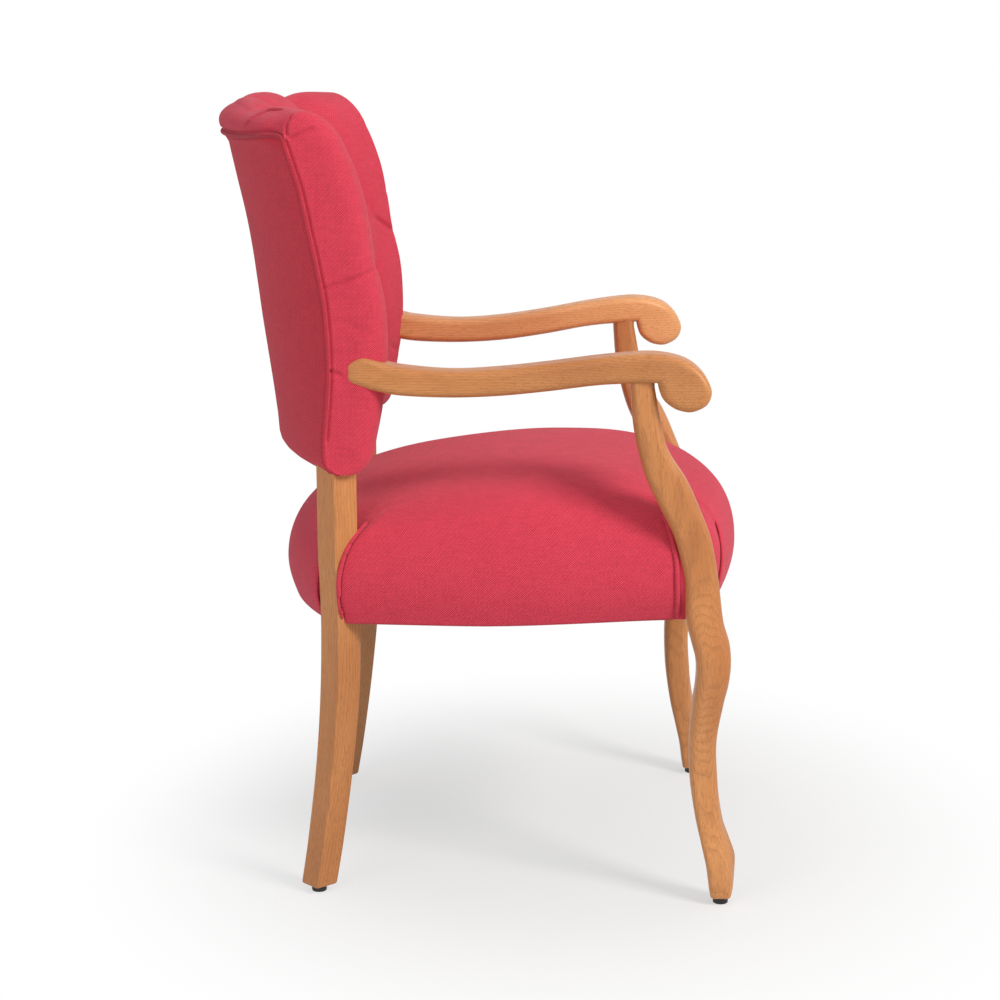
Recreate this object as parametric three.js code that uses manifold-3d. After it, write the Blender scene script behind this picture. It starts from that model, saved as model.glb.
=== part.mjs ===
// An upholstered open armchair: a tufted barrel back, a domed seat, cabriole front legs that rise
// through the seat corners as armrest stumps, and armrests that end in a scroll.
// Millimetres, +Z up. The chair faces -Y, and +X is the sitter's left.

import * as THREE from "three";
import { mergeVertices } from "three/addons/utils/BufferGeometryUtils.js";
import Module from "manifold-3d";

const wasm = await Module();
wasm.setup();

// Fits
const TOUCH_GAP = 0.3;
const CUT_OVERRUN = 6;

// Glides under the legs
const GLIDE_RADIUS = 9;
const GLIDE_THICKNESS = 8;
const GLIDE_EDGE_ROUND = 1.5;
const GLIDE_STEM_RADIUS = 2;
const GLIDE_STEM_LENGTH = 14;

// Legs, placed by their centres at seat height
const FRONT_LEG_X = 250;
const FRONT_LEG_Y = -220;
const FRONT_LEG_SWING = 70;
const FRONT_LEG_SPLAY = 10;
const FRONT_LEG_DEPTH = 40;
const FRONT_LEG_WIDTH = 40;
const REAR_LEG_X = 214;
const REAR_LEG_Y = 204;
const REAR_LEG_SWING = 29;
const REAR_LEG_SIDE = 34.5;

// Armrests
const ARM_HEIGHT = 661.5;
const ARM_RISE = 65.5;
const ARM_WIDTH = 40;
const ARM_EDGE_ROUND = 8;
const ARM_REAR_OUTSET = 4;
const ARM_FRONT_OUTSET = 7;
const DOWEL_RADIUS = 5;
const DOWEL_LENGTH = 36;

// Seat
const SEAT_HEM_HEIGHT = 336;
const SEAT_BULGE_RISE = 39;
const SEAT_CROWN_RISE = 136;
const SEAT_FRONT_REACH = 55;
const SEAT_REAR_REACH = 77;
const SEAT_SIDE_REACH = 12;
const SEAT_FRONT_BOW = 28;
const SEAT_FRONT_SWELL = 28;
const SEAT_HEM_LIFT = 9;
const SEAT_COVER_THICKNESS = 5;

// Seat frame
const RAIL_LIFT = 11;
const RAIL_HEIGHT = 66;
const RAIL_THICKNESS = 22;
const RAIL_SETBACK = 7;
const DUST_COVER_THICKNESS = 1.5;
const DUST_COVER_MARGIN = 1.2;
const STRAP_WIDTH = 50;
const STRAP_THICKNESS = 2;
const SEAT_STRAP_PITCH = 95;
const BLOCK_REACH = 78;
const BLOCK_HEIGHT = 40;
const SCREW_RADIUS = 2.5;
const SCREW_HEAD_RADIUS = 5;
const SCREW_HEAD_HEIGHT = 3;
const SCREW_LENGTH = 60;

// Back
const BACK_BOTTOM_HEIGHT = 513;
const BACK_HEIGHT = 426;
const BACK_LEAN = 100;
const BACK_HALF_WIDTH = 241;
const BACK_WING_X = 205;
const BACK_COVER_THICKNESS = 4;
const BACK_ROLL_OVERHANG = 10;
const BACK_ROLL_LEAN = 15;
const BACK_ROLL_SIDE_DROP = 8;
const BOXING_INSET = 2;
const POST_SETBACK = 11;
const BACK_RAIL_THICKNESS = 22;
const BACK_RAIL_HEIGHT = 34;
const BACK_RAIL_SETBACK = 32;
const BACK_STRAP_SETBACK = 40;
const PLEAT_DEPTH = 10;
const BUTTON_DEPTH = 12;
const BUTTON_RADIUS = 9.5;
const BUTTON_HEIGHT = 6;
const BUTTON_SINK = 2;
const WELT_RADIUS = 3;
const PANEL_MARGIN = 1.2;

// Facets: how finely the round and bowed pieces are divided
const ROUND_SEGMENTS = 10;
const GLIDE_SEGMENTS = 12;
const BAR_STEPS = 8;
const CORNER_STEPS = 2;
const WELT_STEPS = 18;
const WELT_SIDES = 5;
const WELT_RISE_POINTS = 6;
const WELT_TOP_POINTS = 10;
const PANEL_LEVELS = 6;
const PANEL_STATIONS = 8;
const CORE_STATIONS = 6;

// Columns of the front leg: height, swing towards the back, depth, outward splay, width and how far
// the front corners draw back from the middle, as shares of the leg's own sizes.
const FRONT_LEG_SHARES = [
  [0, -0.387, 0.625, 0.3, 0.72, 0.08],
  [0.014, -0.394, 0.7, 0.3, 0.78, 0.1],
  [0.055, -0.38, 0.825, 0.3, 0.86, 0.2],
  [0.085, -0.35, 0.925, 0.2, 0.9, 0.35],
  [0.115, -0.276, 0.875, 0, 0.86, 0.3],
  [0.155, -0.175, 0.8, -0.2, 0.8, 0.18],
  [0.236, -0.071, 0.8, -0.4, 0.78, 0],
  [0.316, -0.043, 0.8, 0.1, 0.83, 0],
  [0.395, -0.114, 0.9, 0.8, 0.97, 0],
  [0.434, -0.171, 0.95, 1, 1.05, 0],
  [0.473, -0.186, 1, 1, 1.1, 0],
  [0.512, -0.129, 1.1, 0.8, 1.1, 0],
  [0.551, -0.036, 1.075, 0.5, 1.05, 0],
  [0.629, 0.029, 1, 0, 0.92, 0],
  [0.707, 0.171, 1.05, -0.1, 0.9, 0],
  [0.763, 0.379, 1.125, 0, 0.9, 0],
  [0.82, 0.614, 1.15, 0.1, 0.88, 0],
  [0.878, 0.85, 0.87, 0.3, 0.85, 0],
  [0.934, 0.96, 0.8, 0.4, 0.82, 0],
  [1, 1.04, 0.68, 0.5, 0.8, 0],
];
const FRONT_LEG_LEVELS = 25;
const LEG_CORNER_SHARE = 0.3;

// Columns of the rear leg below the seat: height, swing towards the back and side of its square.
const REAR_LEG_SHARES = [
  [0, 1, 0.9],
  [0.14, 0.69, 0.92],
  [0.37, 0.29, 0.95],
  [0.6, 0.03, 1],
  [0.82, -0.03, 1],
  [1, 0.05, 1],
];
const REAR_LEG_LEVELS = 8;
const REAR_LEG_TURN = THREE.MathUtils.degToRad(42);
const REAR_LEG_CHAMFER_SHARE = 0.09;
const POST_TOP_SIDE_SHARE = 0.78;
const POST_LEVELS = 5;
const POST_TOP_SHARE = 0.885;

// Outline of the armrest from the side: place along its length from the rear leg, and height, as
// shares of its length and rise. The first row of points is the top and the scroll.
const ARM_TOP_SHARES = [
  [0, 0.84], [0.101, 0.725], [0.182, 0.65], [0.314, 0.61], [0.446, 0.66], [0.578, 0.77],
  [0.71, 0.905], [0.816, 0.987], [0.885, 0.985], [0.947, 0.88], [0.989, 0.66], [1.01, 0.382],
  [1, 0.153], [0.972, 0.031], [0.945, 0], [0.91, 0.061], [0.88, 0.229], [0.868, 0.489],
];
const ARM_UNDER_SHARES = [
  [0.868, 0.489], [0.818, 0.473], [0.712, 0.42], [0.578, 0.285], [0.446, 0.18],
  [0.314, 0.14], [0.179, 0.17], [0.101, 0.26], [0, 0.443],
];
// Columns of the armrest from above: place along its length, outward bow and width.
const ARM_PLAN_SHARES = [
  [0, 0, 0.75],
  [0.09, 0.01, 0.9],
  [0.13, 0.03, 0.95],
  [0.3, 0.12, 0.95],
  [0.45, 0.26, 0.95],
  [0.6, 0.5, 0.98],
  [0.74, 0.81, 1],
  [0.84, 1, 1.05],
  [0.95, 1.24, 1.18],
  [1, 1.36, 1.18],
];
const ARM_TOP_STEPS = 26;
const ARM_UNDER_STEPS = 8;
const ARM_UNDERSIDE_SHARE = 0.6;
const MITRE_LIMIT_SHARE = 0.5;
const ARM_STUMP_TOP_SHARE = 0.25;
const STUMP_TENON_SHARE = 0.6;

// Rings of the seat's dome: share of the plan, and the way up the two parts of its crown.
const SEAT_HEM_SHARE = 0.97;
const SEAT_RING_SHARES = [1, 0.985, 0.955, 0.9, 0.8, 0.62, 0.36, 0.12];
const SEAT_SHOULDER_SHARE = 0.88;
const SEAT_SHOULDER_POWER = 5;
const SEAT_REAR_FALL_SHARE = 0.16;
const SEAT_FALL_START_SHARE = 0.25;
const SEAT_REAR_CORNER_SHARE = 0.12;
const SEAT_SWELL_START_SHARE = 0.35;
const SEAT_SWELL_POWER = 7;
const SEAT_HEM_DRAW_SHARE = 0.028;
const SEAT_HEM_RISE_SHARES = [-0.27, 0.91];
const SEAT_COVER_POINTS = 44;
const SEAT_CORE_POINTS = 30;

// Columns of the back: height, then how far behind the rear leg's centre lie the outer face at the
// middle, the outer face at the welt, the front at the middle and the front at the wing.
const BACK_PROFILE_SHARES = [
  [0, 0.79, 0.13, 0.01, -0.39],
  [0.087, 0.85, 0.135, -0.07, -0.46],
  [0.181, 0.905, 0.1, -0.1, -0.545],
  [0.275, 0.965, 0.07, -0.11, -0.585],
  [0.38, 1.03, 0.08, -0.07, -0.59],
  [0.474, 1.08, 0.115, 0.01, -0.56],
  [0.58, 1.14, 0.195, 0.14, -0.475],
  [0.674, 1.21, 0.28, 0.28, -0.4],
  [0.779, 1.31, 0.376, 0.45, -0.3],
  [0.885, 1.405, 0.52, 0.64, -0.12],
  [1, 1.49, 0.66, 0.86, 0.21],
];
const BACK_REAR_SHARES = [0.087, 0.28, 0.48, 0.68, 0.885];
const BACK_FOOT_SHARE = 0.08;
const TUFT_TOP_SHARE = 0.779;
const TUFT_PITCH_SHARE = 0.2;
const TUFT_COLUMN_SHARE = 0.155;
const TUFT_COLUMNS = 6;
const TUFT_ROWS = 3;
const TUFT_MARGIN_SHARE = 0.5;
const TUFT_ROW_STEP = 0.5;
const TUFT_FADE_COLUMNS = [2.1, 3];
const TUFT_EDGE_SHARE = 0.12;
const PILLOW_POWER = 2.4;
const BUTTON_SPREAD_SHARE = 0.3;
const BUTTON_SHOULDER_SHARE = 0.8;
const ROLL_BULGE_ANGLE = THREE.MathUtils.degToRad(60);
const ROLL_ANGLES = [22, 56, 90, 124, 156].map(THREE.MathUtils.degToRad);
const FOOT_ANGLES = [30, 80, 130].map(THREE.MathUtils.degToRad);
// How far each ring of the boxing draws in to its middle, and how far out it has come.
const BOXING_RING_SHARES = [
  [0.1, 0.5],
  [0.3, 0.85],
  [0.6, 1],
];
const PANEL_EDGE_SHARE = 0.975;
const PANEL_FOOT_SHARE = 0.03;
const PANEL_TOP_SHARE = 0.89;
const PANEL_ZONE_SHARE = 3;
const BACK_STRAP_SHARES = [0.36, 0.53, 0.7];

// Materials
const FABRIC = { color: 0xd0445a, roughness: 0.9, metalness: 0 };
const PANEL_FABRIC = { color: 0xb8404f, roughness: 0.9, metalness: 0 };
const SHOW_WOOD = { color: 0xd08c54, roughness: 0.45, metalness: 0 };
const FRAME_WOOD = { color: 0xc9a777, roughness: 0.7, metalness: 0 };
const FOAM = { color: 0xe8dfc0, roughness: 0.95, metalness: 0 };
const WEBBING = { color: 0x5b5148, roughness: 0.9, metalness: 0 };
const LINING = { color: 0x2b2a2c, roughness: 0.95, metalness: 0 };
const PLASTIC = { color: 0x18181a, roughness: 0.5, metalness: 0 };
const STEEL = { color: 0x9a9da1, roughness: 0.35, metalness: 1 };

// Heights that follow from the sizes above
const footHeight = GLIDE_THICKNESS + TOUCH_GAP;
const armLow = ARM_HEIGHT - ARM_RISE;
const armLength = REAR_LEG_Y - FRONT_LEG_Y;
const frontLegHeight = ARM_HEIGHT - ARM_RISE * ARM_UNDERSIDE_SHARE;
const stumpTop = ARM_HEIGHT - ARM_RISE * ARM_STUMP_TOP_SHARE;
const bulgeHeight = SEAT_HEM_HEIGHT + SEAT_BULGE_RISE;
const railBottom = SEAT_HEM_HEIGHT + RAIL_LIFT;
const railTop = railBottom + RAIL_HEIGHT;
const longStrapBottom = railTop + TOUCH_GAP;
const crossStrapBottom = longStrapBottom + STRAP_THICKNESS + TOUCH_GAP;
const foamBottom = crossStrapBottom + STRAP_THICKNESS + TOUCH_GAP;
const postTop = BACK_BOTTOM_HEIGHT + BACK_HEIGHT * POST_TOP_SHARE;

// Solids

function solidOf(geometry) {
  const bare = geometry.clone();
  bare.deleteAttribute("normal");
  bare.deleteAttribute("uv");
  const merged = mergeVertices(bare);
  return new wasm.Manifold(
    new wasm.Mesh({
      numProp: 3,
      vertProperties: merged.attributes.position.array,
      triVerts: new Uint32Array(merged.index.array),
    }),
  );
}

function geometryOf(solid) {
  const mesh = solid.getMesh();
  const geometry = new THREE.BufferGeometry();
  geometry.setAttribute("position", new THREE.BufferAttribute(mesh.vertProperties, 3));
  geometry.setIndex(new THREE.BufferAttribute(mesh.triVerts, 1));
  const flat = geometry.toNonIndexed();
  flat.computeVertexNormals();
  return flat;
}

const subtractAll = (solid, cutters) => cutters.reduce((left, cutter) => left.subtract(cutter), solid);

// The faces of a fan from the ring's middle, which is the point after its last.
function fanFaces(count, first, middle, alongRing) {
  return Array.from({ length: count }, (_, i) => {
    const pair = [first + i, first + ((i + 1) % count)];
    return alongRing ? [middle, ...pair] : [middle, ...pair.reverse()];
  }).flat();
}

// The faces of a cap with hollow sides, seen along one axis.
function outlineFaces(ring, first, seenAlong, alongRing) {
  const flat = ring.map((p) => new THREE.Vector2(...p.toArray().filter((_, axis) => axis !== seenAlong)));
  const turn = Math.sign(THREE.ShapeUtils.area(flat));
  return THREE.ShapeUtils.triangulateShape(flat, []).flatMap(([a, b, c]) => {
    const same = Math.sign(THREE.ShapeUtils.area([flat[a], flat[b], flat[c]])) === turn;
    const [u, v] = same === alongRing ? [b, c] : [c, b];
    return [first + a, first + u, first + v];
  });
}

const middleOf = (ring) =>
  ring.reduce((sum, p) => sum.add(p), new THREE.Vector3()).divideScalar(ring.length);

// A solid through rings of equally many points. A fan closes each end, or, where the end has hollow
// sides, faces laid out as seen along the axis that is given. Pleated faces fold along the diagonal
// that lies deeper in the solid.
function loft(rings, seenAlong, pleated = false) {
  const count = rings[0].length;
  const points = rings.flat();
  const lastRing = (rings.length - 1) * count;
  const faces = [];
  for (let ring = 0; ring + 1 < rings.length; ring += 1) {
    const middle = middleOf(rings[ring]);
    const reach = (p, q) => points[p].clone().lerp(points[q], 0.5).distanceTo(middle);
    for (let i = 0; i < count; i += 1) {
      const a = ring * count + i;
      const b = ring * count + ((i + 1) % count);
      const [c, d] = [b + count, a + count];
      const crossed = pleated && reach(b, d) < reach(a, c);
      faces.push(...(crossed ? [a, b, d, b, c, d] : [a, b, c, a, c, d]));
    }
  }
  if (seenAlong === undefined) {
    faces.push(...fanFaces(count, 0, points.length, false));
    faces.push(...fanFaces(count, lastRing, points.length + 1, true));
    points.push(middleOf(rings[0]), middleOf(rings.at(-1)));
  } else {
    faces.push(...outlineFaces(rings[0], 0, seenAlong, false));
    faces.push(...outlineFaces(rings.at(-1), lastRing, seenAlong, true));
  }
  const geometry = new THREE.BufferGeometry().setFromPoints(points);
  geometry.setIndex(faces);
  const solid = solidOf(geometry);
  if (solid.volume() > 0) return solid;
  geometry.setIndex(faces.reverse());
  return solidOf(geometry);
}

// The values of a table whose first column rises, read between its rows on a smooth curve.
function readTable(rows, at) {
  const last = rows.length - 1;
  let low = 0;
  while (low < last - 1 && at > rows[low + 1][0]) low += 1;
  const span = rows[low + 1][0] - rows[low][0];
  const t = (at - rows[low][0]) / span;
  const slope = (row, column) => {
    const before = rows[Math.max(row - 1, 0)];
    const after = rows[Math.min(row + 1, last)];
    return (after[column] - before[column]) / (after[0] - before[0]);
  };
  return rows[low].slice(1).map((start, index) => {
    const column = index + 1;
    const end = rows[low + 1][column];
    const rise = end - start;
    const lift = slope(low, column) * span - rise;
    const drop = rise - slope(low + 1, column) * span;
    return start + rise * t + t * (1 - t) * (lift * (1 - t) + drop * t);
  });
}

const shares = (count) => Array.from({ length: count + 1 }, (_, i) => i / count);

// A rounded rectangle about the origin, with a point in the middle of its front and rear.
function roundedRectangle(width, depth, radius, steps) {
  const points = [new THREE.Vector2(0, -depth / 2)];
  for (const [sideX, sideY, start] of [[1, -1, -1], [1, 1, 0], [-1, 1, 1], [-1, -1, 2]]) {
    if (sideX === -1 && sideY === 1) points.push(new THREE.Vector2(0, depth / 2));
    for (const share of shares(steps)) {
      const angle = ((start + share) * Math.PI) / 2;
      const x = sideX * (width / 2 - radius) + radius * Math.cos(angle);
      const y = sideY * (depth / 2 - radius) + radius * Math.sin(angle);
      points.push(new THREE.Vector2(x, y));
    }
  }
  return points;
}

// A bar with a rectangular section that bows backwards or forwards between two equal ends.
function bowedBar({ halfSpan, endY, middleY, thickness, bottom, height }) {
  const rings = shares(BAR_STEPS).map((share) => {
    const across = share * 2 - 1;
    const x = halfSpan * across;
    const y = middleY + (endY - middleY) * across * across;
    return [
      new THREE.Vector3(x, y - thickness / 2, bottom),
      new THREE.Vector3(x, y + thickness / 2, bottom),
      new THREE.Vector3(x, y + thickness / 2, bottom + height),
      new THREE.Vector3(x, y - thickness / 2, bottom + height),
    ];
  });
  return loft(rings);
}

// A solid of revolution about the line from one point in a direction.
function turned(profile, segments, from, direction) {
  const geometry = new THREE.LatheGeometry(profile.map(([r, h]) => new THREE.Vector2(r, h)), segments);
  const turn = new THREE.Quaternion().setFromUnitVectors(
    new THREE.Vector3(0, 1, 0),
    direction.clone().normalize(),
  );
  geometry.applyQuaternion(turn).translate(from.x, from.y, from.z);
  return solidOf(geometry);
}

const rod = (radius, length, from, direction) =>
  turned([[0, 0], [radius, 0], [radius, length], [0, length]], ROUND_SEGMENTS, from, direction);

// Front leg and armrest stump

const frontLegShare = (z) => (z - footHeight) / (frontLegHeight - footHeight);

function frontLegPlace(side, share) {
  const [swing, depth, splay, width, keel] = readTable(FRONT_LEG_SHARES, share);
  return {
    x: side * (FRONT_LEG_X + FRONT_LEG_SPLAY * splay),
    y: FRONT_LEG_Y + FRONT_LEG_SWING * swing,
    z: THREE.MathUtils.lerp(footHeight, frontLegHeight, share),
    depth: FRONT_LEG_DEPTH * depth,
    width: FRONT_LEG_WIDTH * width,
    keel,
  };
}

function frontLegRing(place, growth) {
  const width = place.width + 2 * growth;
  const depth = place.depth + 2 * growth;
  const radius = Math.min(place.width, place.depth) * LEG_CORNER_SHARE;
  return roundedRectangle(width, depth, radius, CORNER_STEPS).map((p) => {
    const drawnBack = p.y < 0 ? place.keel * depth * Math.abs((2 * p.x) / width) : 0;
    return new THREE.Vector3(place.x + p.x, place.y + p.y + drawnBack, place.z);
  });
}

function frontLegBlank(side, growth = 0) {
  const places = shares(FRONT_LEG_LEVELS).map((share) => frontLegPlace(side, share));
  const top = places.at(-1);
  const width = top.width * STUMP_TENON_SHARE;
  places.push({ ...top, z: stumpTop, width, depth: top.depth * STUMP_TENON_SHARE });
  return loft(places.map((place) => frontLegRing(place, growth)));
}

// Rear leg and back post

// How far a point of the back lies behind the origin, by its share of the height and its place
// across, which is 0 at the middle and 1 at the welt or wing.
function backSurface(share, across) {
  const [rearMiddle, rearWelt, frontMiddle, frontWing] = readTable(BACK_PROFILE_SHARES, share);
  const towardsSide = across * across;
  return {
    rear: REAR_LEG_Y + BACK_LEAN * THREE.MathUtils.lerp(rearMiddle, rearWelt, towardsSide),
    front: REAR_LEG_Y + BACK_LEAN * THREE.MathUtils.lerp(frontMiddle, frontWing, towardsSide),
  };
}

const backHeightAt = (share) => BACK_BOTTOM_HEIGHT + BACK_HEIGHT * share;

const postY = (share) => backSurface(share, 1).rear - POST_SETBACK;

function rearLegPlaces() {
  const legs = shares(REAR_LEG_LEVELS).map((share) => {
    const [swing, sideShare] = readTable(REAR_LEG_SHARES, share);
    const z = THREE.MathUtils.lerp(footHeight, railTop, share);
    return { y: REAR_LEG_Y + REAR_LEG_SWING * swing, z, size: REAR_LEG_SIDE * sideShare };
  });
  const posts = shares(POST_LEVELS).map((share) => {
    const z = THREE.MathUtils.lerp(BACK_BOTTOM_HEIGHT, postTop, share);
    const size = REAR_LEG_SIDE * THREE.MathUtils.lerp(1, POST_TOP_SIDE_SHARE, share);
    return { y: postY(share * POST_TOP_SHARE), z, size };
  });
  return [...legs, ...posts];
}

function rearLegBlank(side, growth = 0) {
  const rings = rearLegPlaces().map(({ y, z, size }) => {
    const across = size + 2 * growth;
    const section = roundedRectangle(across, across, size * REAR_LEG_CHAMFER_SHARE, 1);
    return section.map((p) => {
      p.rotateAround(new THREE.Vector2(0, 0), -REAR_LEG_TURN);
      return new THREE.Vector3(side * (REAR_LEG_X + p.x), y + p.y, z);
    });
  });
  return loft(rings);
}

// Armrest

const armY = (along) => REAR_LEG_Y - armLength * along;

function armPlan(along) {
  const [bow, width] = readTable(ARM_PLAN_SHARES, along);
  const rear = REAR_LEG_X + ARM_REAR_OUTSET;
  const front = FRONT_LEG_X + ARM_FRONT_OUTSET;
  return { x: THREE.MathUtils.lerp(rear, front, bow), width: ARM_WIDTH * width };
}

function armOutline() {
  const place = ([along, up]) => new THREE.Vector2(armLength * along, armLow + ARM_RISE * up);
  const top = new THREE.SplineCurve(ARM_TOP_SHARES.map(place)).getPoints(ARM_TOP_STEPS);
  const under = new THREE.SplineCurve(ARM_UNDER_SHARES.map(place)).getPoints(ARM_UNDER_STEPS);
  return [...top, ...under.slice(1)];
}

// A clockwise outline drawn in by the same distance all round.
function drawnIn(outline, distance) {
  return outline.map((p, i) => {
    const arriving = p.clone().sub(outline.at(i - 1)).normalize();
    const leaving = outline[(i + 1) % outline.length].clone().sub(p).normalize();
    const inward = new THREE.Vector2(arriving.y + leaving.y, -arriving.x - leaving.x).normalize();
    const halfTurn = Math.max(inward.dot(new THREE.Vector2(leaving.y, -leaving.x)), MITRE_LIMIT_SHARE);
    return p.clone().addScaledVector(inward, distance / halfTurn);
  });
}

// Rings of the outline stand side by side across the armrest, and the outer ones draw in to round
// its edges. Each point then moves out to the plan.
function armBlank(side, growth = 0) {
  const outline = armOutline();
  const turns = shares(CORNER_STEPS).map((share) => (share * Math.PI) / 2);
  const rings = [];
  for (const edge of [-1, 1]) {
    for (const turn of edge === -1 ? turns : turns.toReversed()) {
      const inset = ARM_EDGE_ROUND * (1 - Math.sin(turn)) - growth;
      const across = edge * (1 / 2 - (ARM_EDGE_ROUND * (1 - Math.cos(turn))) / ARM_WIDTH);
      rings.push(
        drawnIn(outline, inset).map((p) => {
          const along = p.x / armLength;
          const plan = armPlan(THREE.MathUtils.clamp(along, 0, 1));
          const x = plan.x + across * (plan.width + 2 * growth);
          return new THREE.Vector3(side * x, armY(along), p.y);
        }),
      );
    }
  }
  return loft(rings, 0);
}

// Dowels that join each armrest to the stump and to the post
function armDowels(side, growth = 0) {
  const radius = DOWEL_RADIUS + growth;
  const length = DOWEL_LENGTH + 2 * growth;
  const half = length / 2;
  const stump = frontLegPlace(side, 1);
  const front = new THREE.Vector3(stump.x, stump.y, stump.z - half);
  const rear = new THREE.Vector3(side * (REAR_LEG_X + ARM_REAR_OUTSET), 0, 0);
  rear.y = armY(ARM_PLAN_SHARES[1][0]) - half;
  rear.z = armLow + ARM_RISE * ARM_UNDERSIDE_SHARE;
  return {
    front: rod(radius, length, front, new THREE.Vector3(0, 0, 1)),
    rear: rod(radius, length, rear, new THREE.Vector3(0, 1, 0)),
  };
}

// Glides

const legFeet = {
  front_right: frontLegPlace(-1, 0),
  front_left: frontLegPlace(1, 0),
  rear_right: { x: -REAR_LEG_X, y: rearLegPlaces()[0].y },
  rear_left: { x: REAR_LEG_X, y: rearLegPlaces()[0].y },
};

function glide({ x, y }, growth = 0) {
  const stemTop = GLIDE_THICKNESS + GLIDE_STEM_LENGTH + growth;
  const profile = [
    [0, 0],
    [GLIDE_RADIUS - GLIDE_EDGE_ROUND, 0],
    [GLIDE_RADIUS, GLIDE_EDGE_ROUND],
    [GLIDE_RADIUS, GLIDE_THICKNESS],
    [GLIDE_STEM_RADIUS + growth, GLIDE_THICKNESS],
    [GLIDE_STEM_RADIUS + growth, stemTop],
    [0, stemTop],
  ];
  return turned(profile, GLIDE_SEGMENTS, new THREE.Vector3(x, y, 0), new THREE.Vector3(0, 0, 1));
}

// Seat frame

// Where the rails meet in a corner: at the leg's centre at their own height.
function railCorner(isFront) {
  if (!isFront) return new THREE.Vector2(REAR_LEG_X, REAR_LEG_Y);
  const { y } = frontLegPlace(1, frontLegShare((railBottom + railTop) / 2));
  return new THREE.Vector2(FRONT_LEG_X - RAIL_SETBACK, y);
}

function crossRail(isFront, growth = 0) {
  const reach = isFront ? -SEAT_FRONT_REACH : SEAT_REAR_REACH;
  const setback = SEAT_COVER_THICKNESS + RAIL_SETBACK + RAIL_THICKNESS / 2;
  return bowedBar({
    halfSpan: isFront ? FRONT_LEG_X - FRONT_LEG_SPLAY : REAR_LEG_X,
    endY: railCorner(isFront).y,
    middleY: (isFront ? FRONT_LEG_Y : REAR_LEG_Y) + reach - Math.sign(reach) * setback,
    thickness: RAIL_THICKNESS + 2 * growth,
    bottom: railBottom - growth,
    height: RAIL_HEIGHT + 2 * growth,
  });
}

function sideRail(side, growth = 0) {
  const half = RAIL_THICKNESS / 2 + growth;
  const bottom = railBottom - growth;
  const top = railTop + growth;
  return loft(
    [railCorner(true), railCorner(false)].map(({ x, y }) => [
      new THREE.Vector3(side * (x - half), y, bottom),
      new THREE.Vector3(side * (x + half), y, bottom),
      new THREE.Vector3(side * (x + half), y, top),
      new THREE.Vector3(side * (x - half), y, top),
    ]),
  );
}

function cornerBlock(side, isFront) {
  const corner = railCorner(isFront);
  const inward = isFront ? 1 : -1;
  const bottom = railBottom + (RAIL_HEIGHT - BLOCK_HEIGHT) / 2;
  const ring = (z) => [
    new THREE.Vector3(side * corner.x, corner.y, z),
    new THREE.Vector3(side * (corner.x - BLOCK_REACH), corner.y, z),
    new THREE.Vector3(side * corner.x, corner.y + inward * BLOCK_REACH, z),
  ];
  return loft([ring(bottom), ring(bottom + BLOCK_HEIGHT)]);
}

// The screw lies across the block's corner, with its head on the block's long face.
function blockScrew(side, isFront, growth = 0) {
  const corner = railCorner(isFront);
  const inward = isFront ? 1 : -1;
  const towardsLeg = new THREE.Vector3(side, -inward, 0).normalize();
  const middle = new THREE.Vector3(
    side * (corner.x - BLOCK_REACH / 2),
    corner.y + (inward * BLOCK_REACH) / 2,
    railBottom + RAIL_HEIGHT / 2,
  );
  const from = middle.clone().addScaledVector(towardsLeg, -SCREW_HEAD_HEIGHT - TOUCH_GAP);
  const profile = [
    [0, 0],
    [SCREW_HEAD_RADIUS, 0],
    [SCREW_HEAD_RADIUS, SCREW_HEAD_HEIGHT],
    [SCREW_RADIUS + growth, SCREW_HEAD_HEIGHT],
    [SCREW_RADIUS + growth, SCREW_LENGTH + growth],
    [0, SCREW_LENGTH + growth],
  ];
  return turned(profile, ROUND_SEGMENTS, from, towardsLeg);
}

// Seat upholstery

// Half of the seat's plan, from the front middle round the left side to the rear middle.
function seatHalfPath() {
  const frontY = FRONT_LEG_Y - SEAT_FRONT_REACH;
  const rearY = REAR_LEG_Y + SEAT_REAR_REACH;
  const halfWidth = FRONT_LEG_X + SEAT_SIDE_REACH;
  const cornerX = FRONT_LEG_X - FRONT_LEG_WIDTH;
  const rearReach = REAR_LEG_SIDE / Math.SQRT2;
  const path = new THREE.Path();
  path.moveTo(0, frontY);
  path.quadraticCurveTo(cornerX / 2, frontY, cornerX, frontY + SEAT_FRONT_BOW);
  path.quadraticCurveTo(
    halfWidth - SEAT_COVER_THICKNESS,
    FRONT_LEG_Y - FRONT_LEG_DEPTH / 2,
    halfWidth,
    FRONT_LEG_Y + FRONT_LEG_DEPTH / 2,
  );
  path.quadraticCurveTo(
    halfWidth,
    (FRONT_LEG_Y + REAR_LEG_Y) / 2,
    REAR_LEG_X + rearReach + TOUCH_GAP,
    REAR_LEG_Y - REAR_LEG_SIDE * SEAT_REAR_CORNER_SHARE,
  );
  path.lineTo(REAR_LEG_X, REAR_LEG_Y + rearReach);
  path.quadraticCurveTo(REAR_LEG_X / 2, rearY, 0, rearY);
  return path;
}

function seatPlan(count) {
  const half = seatHalfPath().getSpacedPoints(count / 2);
  const mirrored = half.slice(1, -1).reverse();
  return [...half, ...mirrored.map((p) => new THREE.Vector2(-p.x, p.y))];
}

const shoulderShare = (ring) => Math.sqrt(1 - ring ** SEAT_SHOULDER_POWER);

// How much a place on the seat belongs to its front, where the cloth swells over the rail.
const seatFrontShare = (y) =>
  THREE.MathUtils.smoothstep(-y, -FRONT_LEG_Y * SEAT_SWELL_START_SHARE, SEAT_FRONT_REACH - FRONT_LEG_Y);

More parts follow.
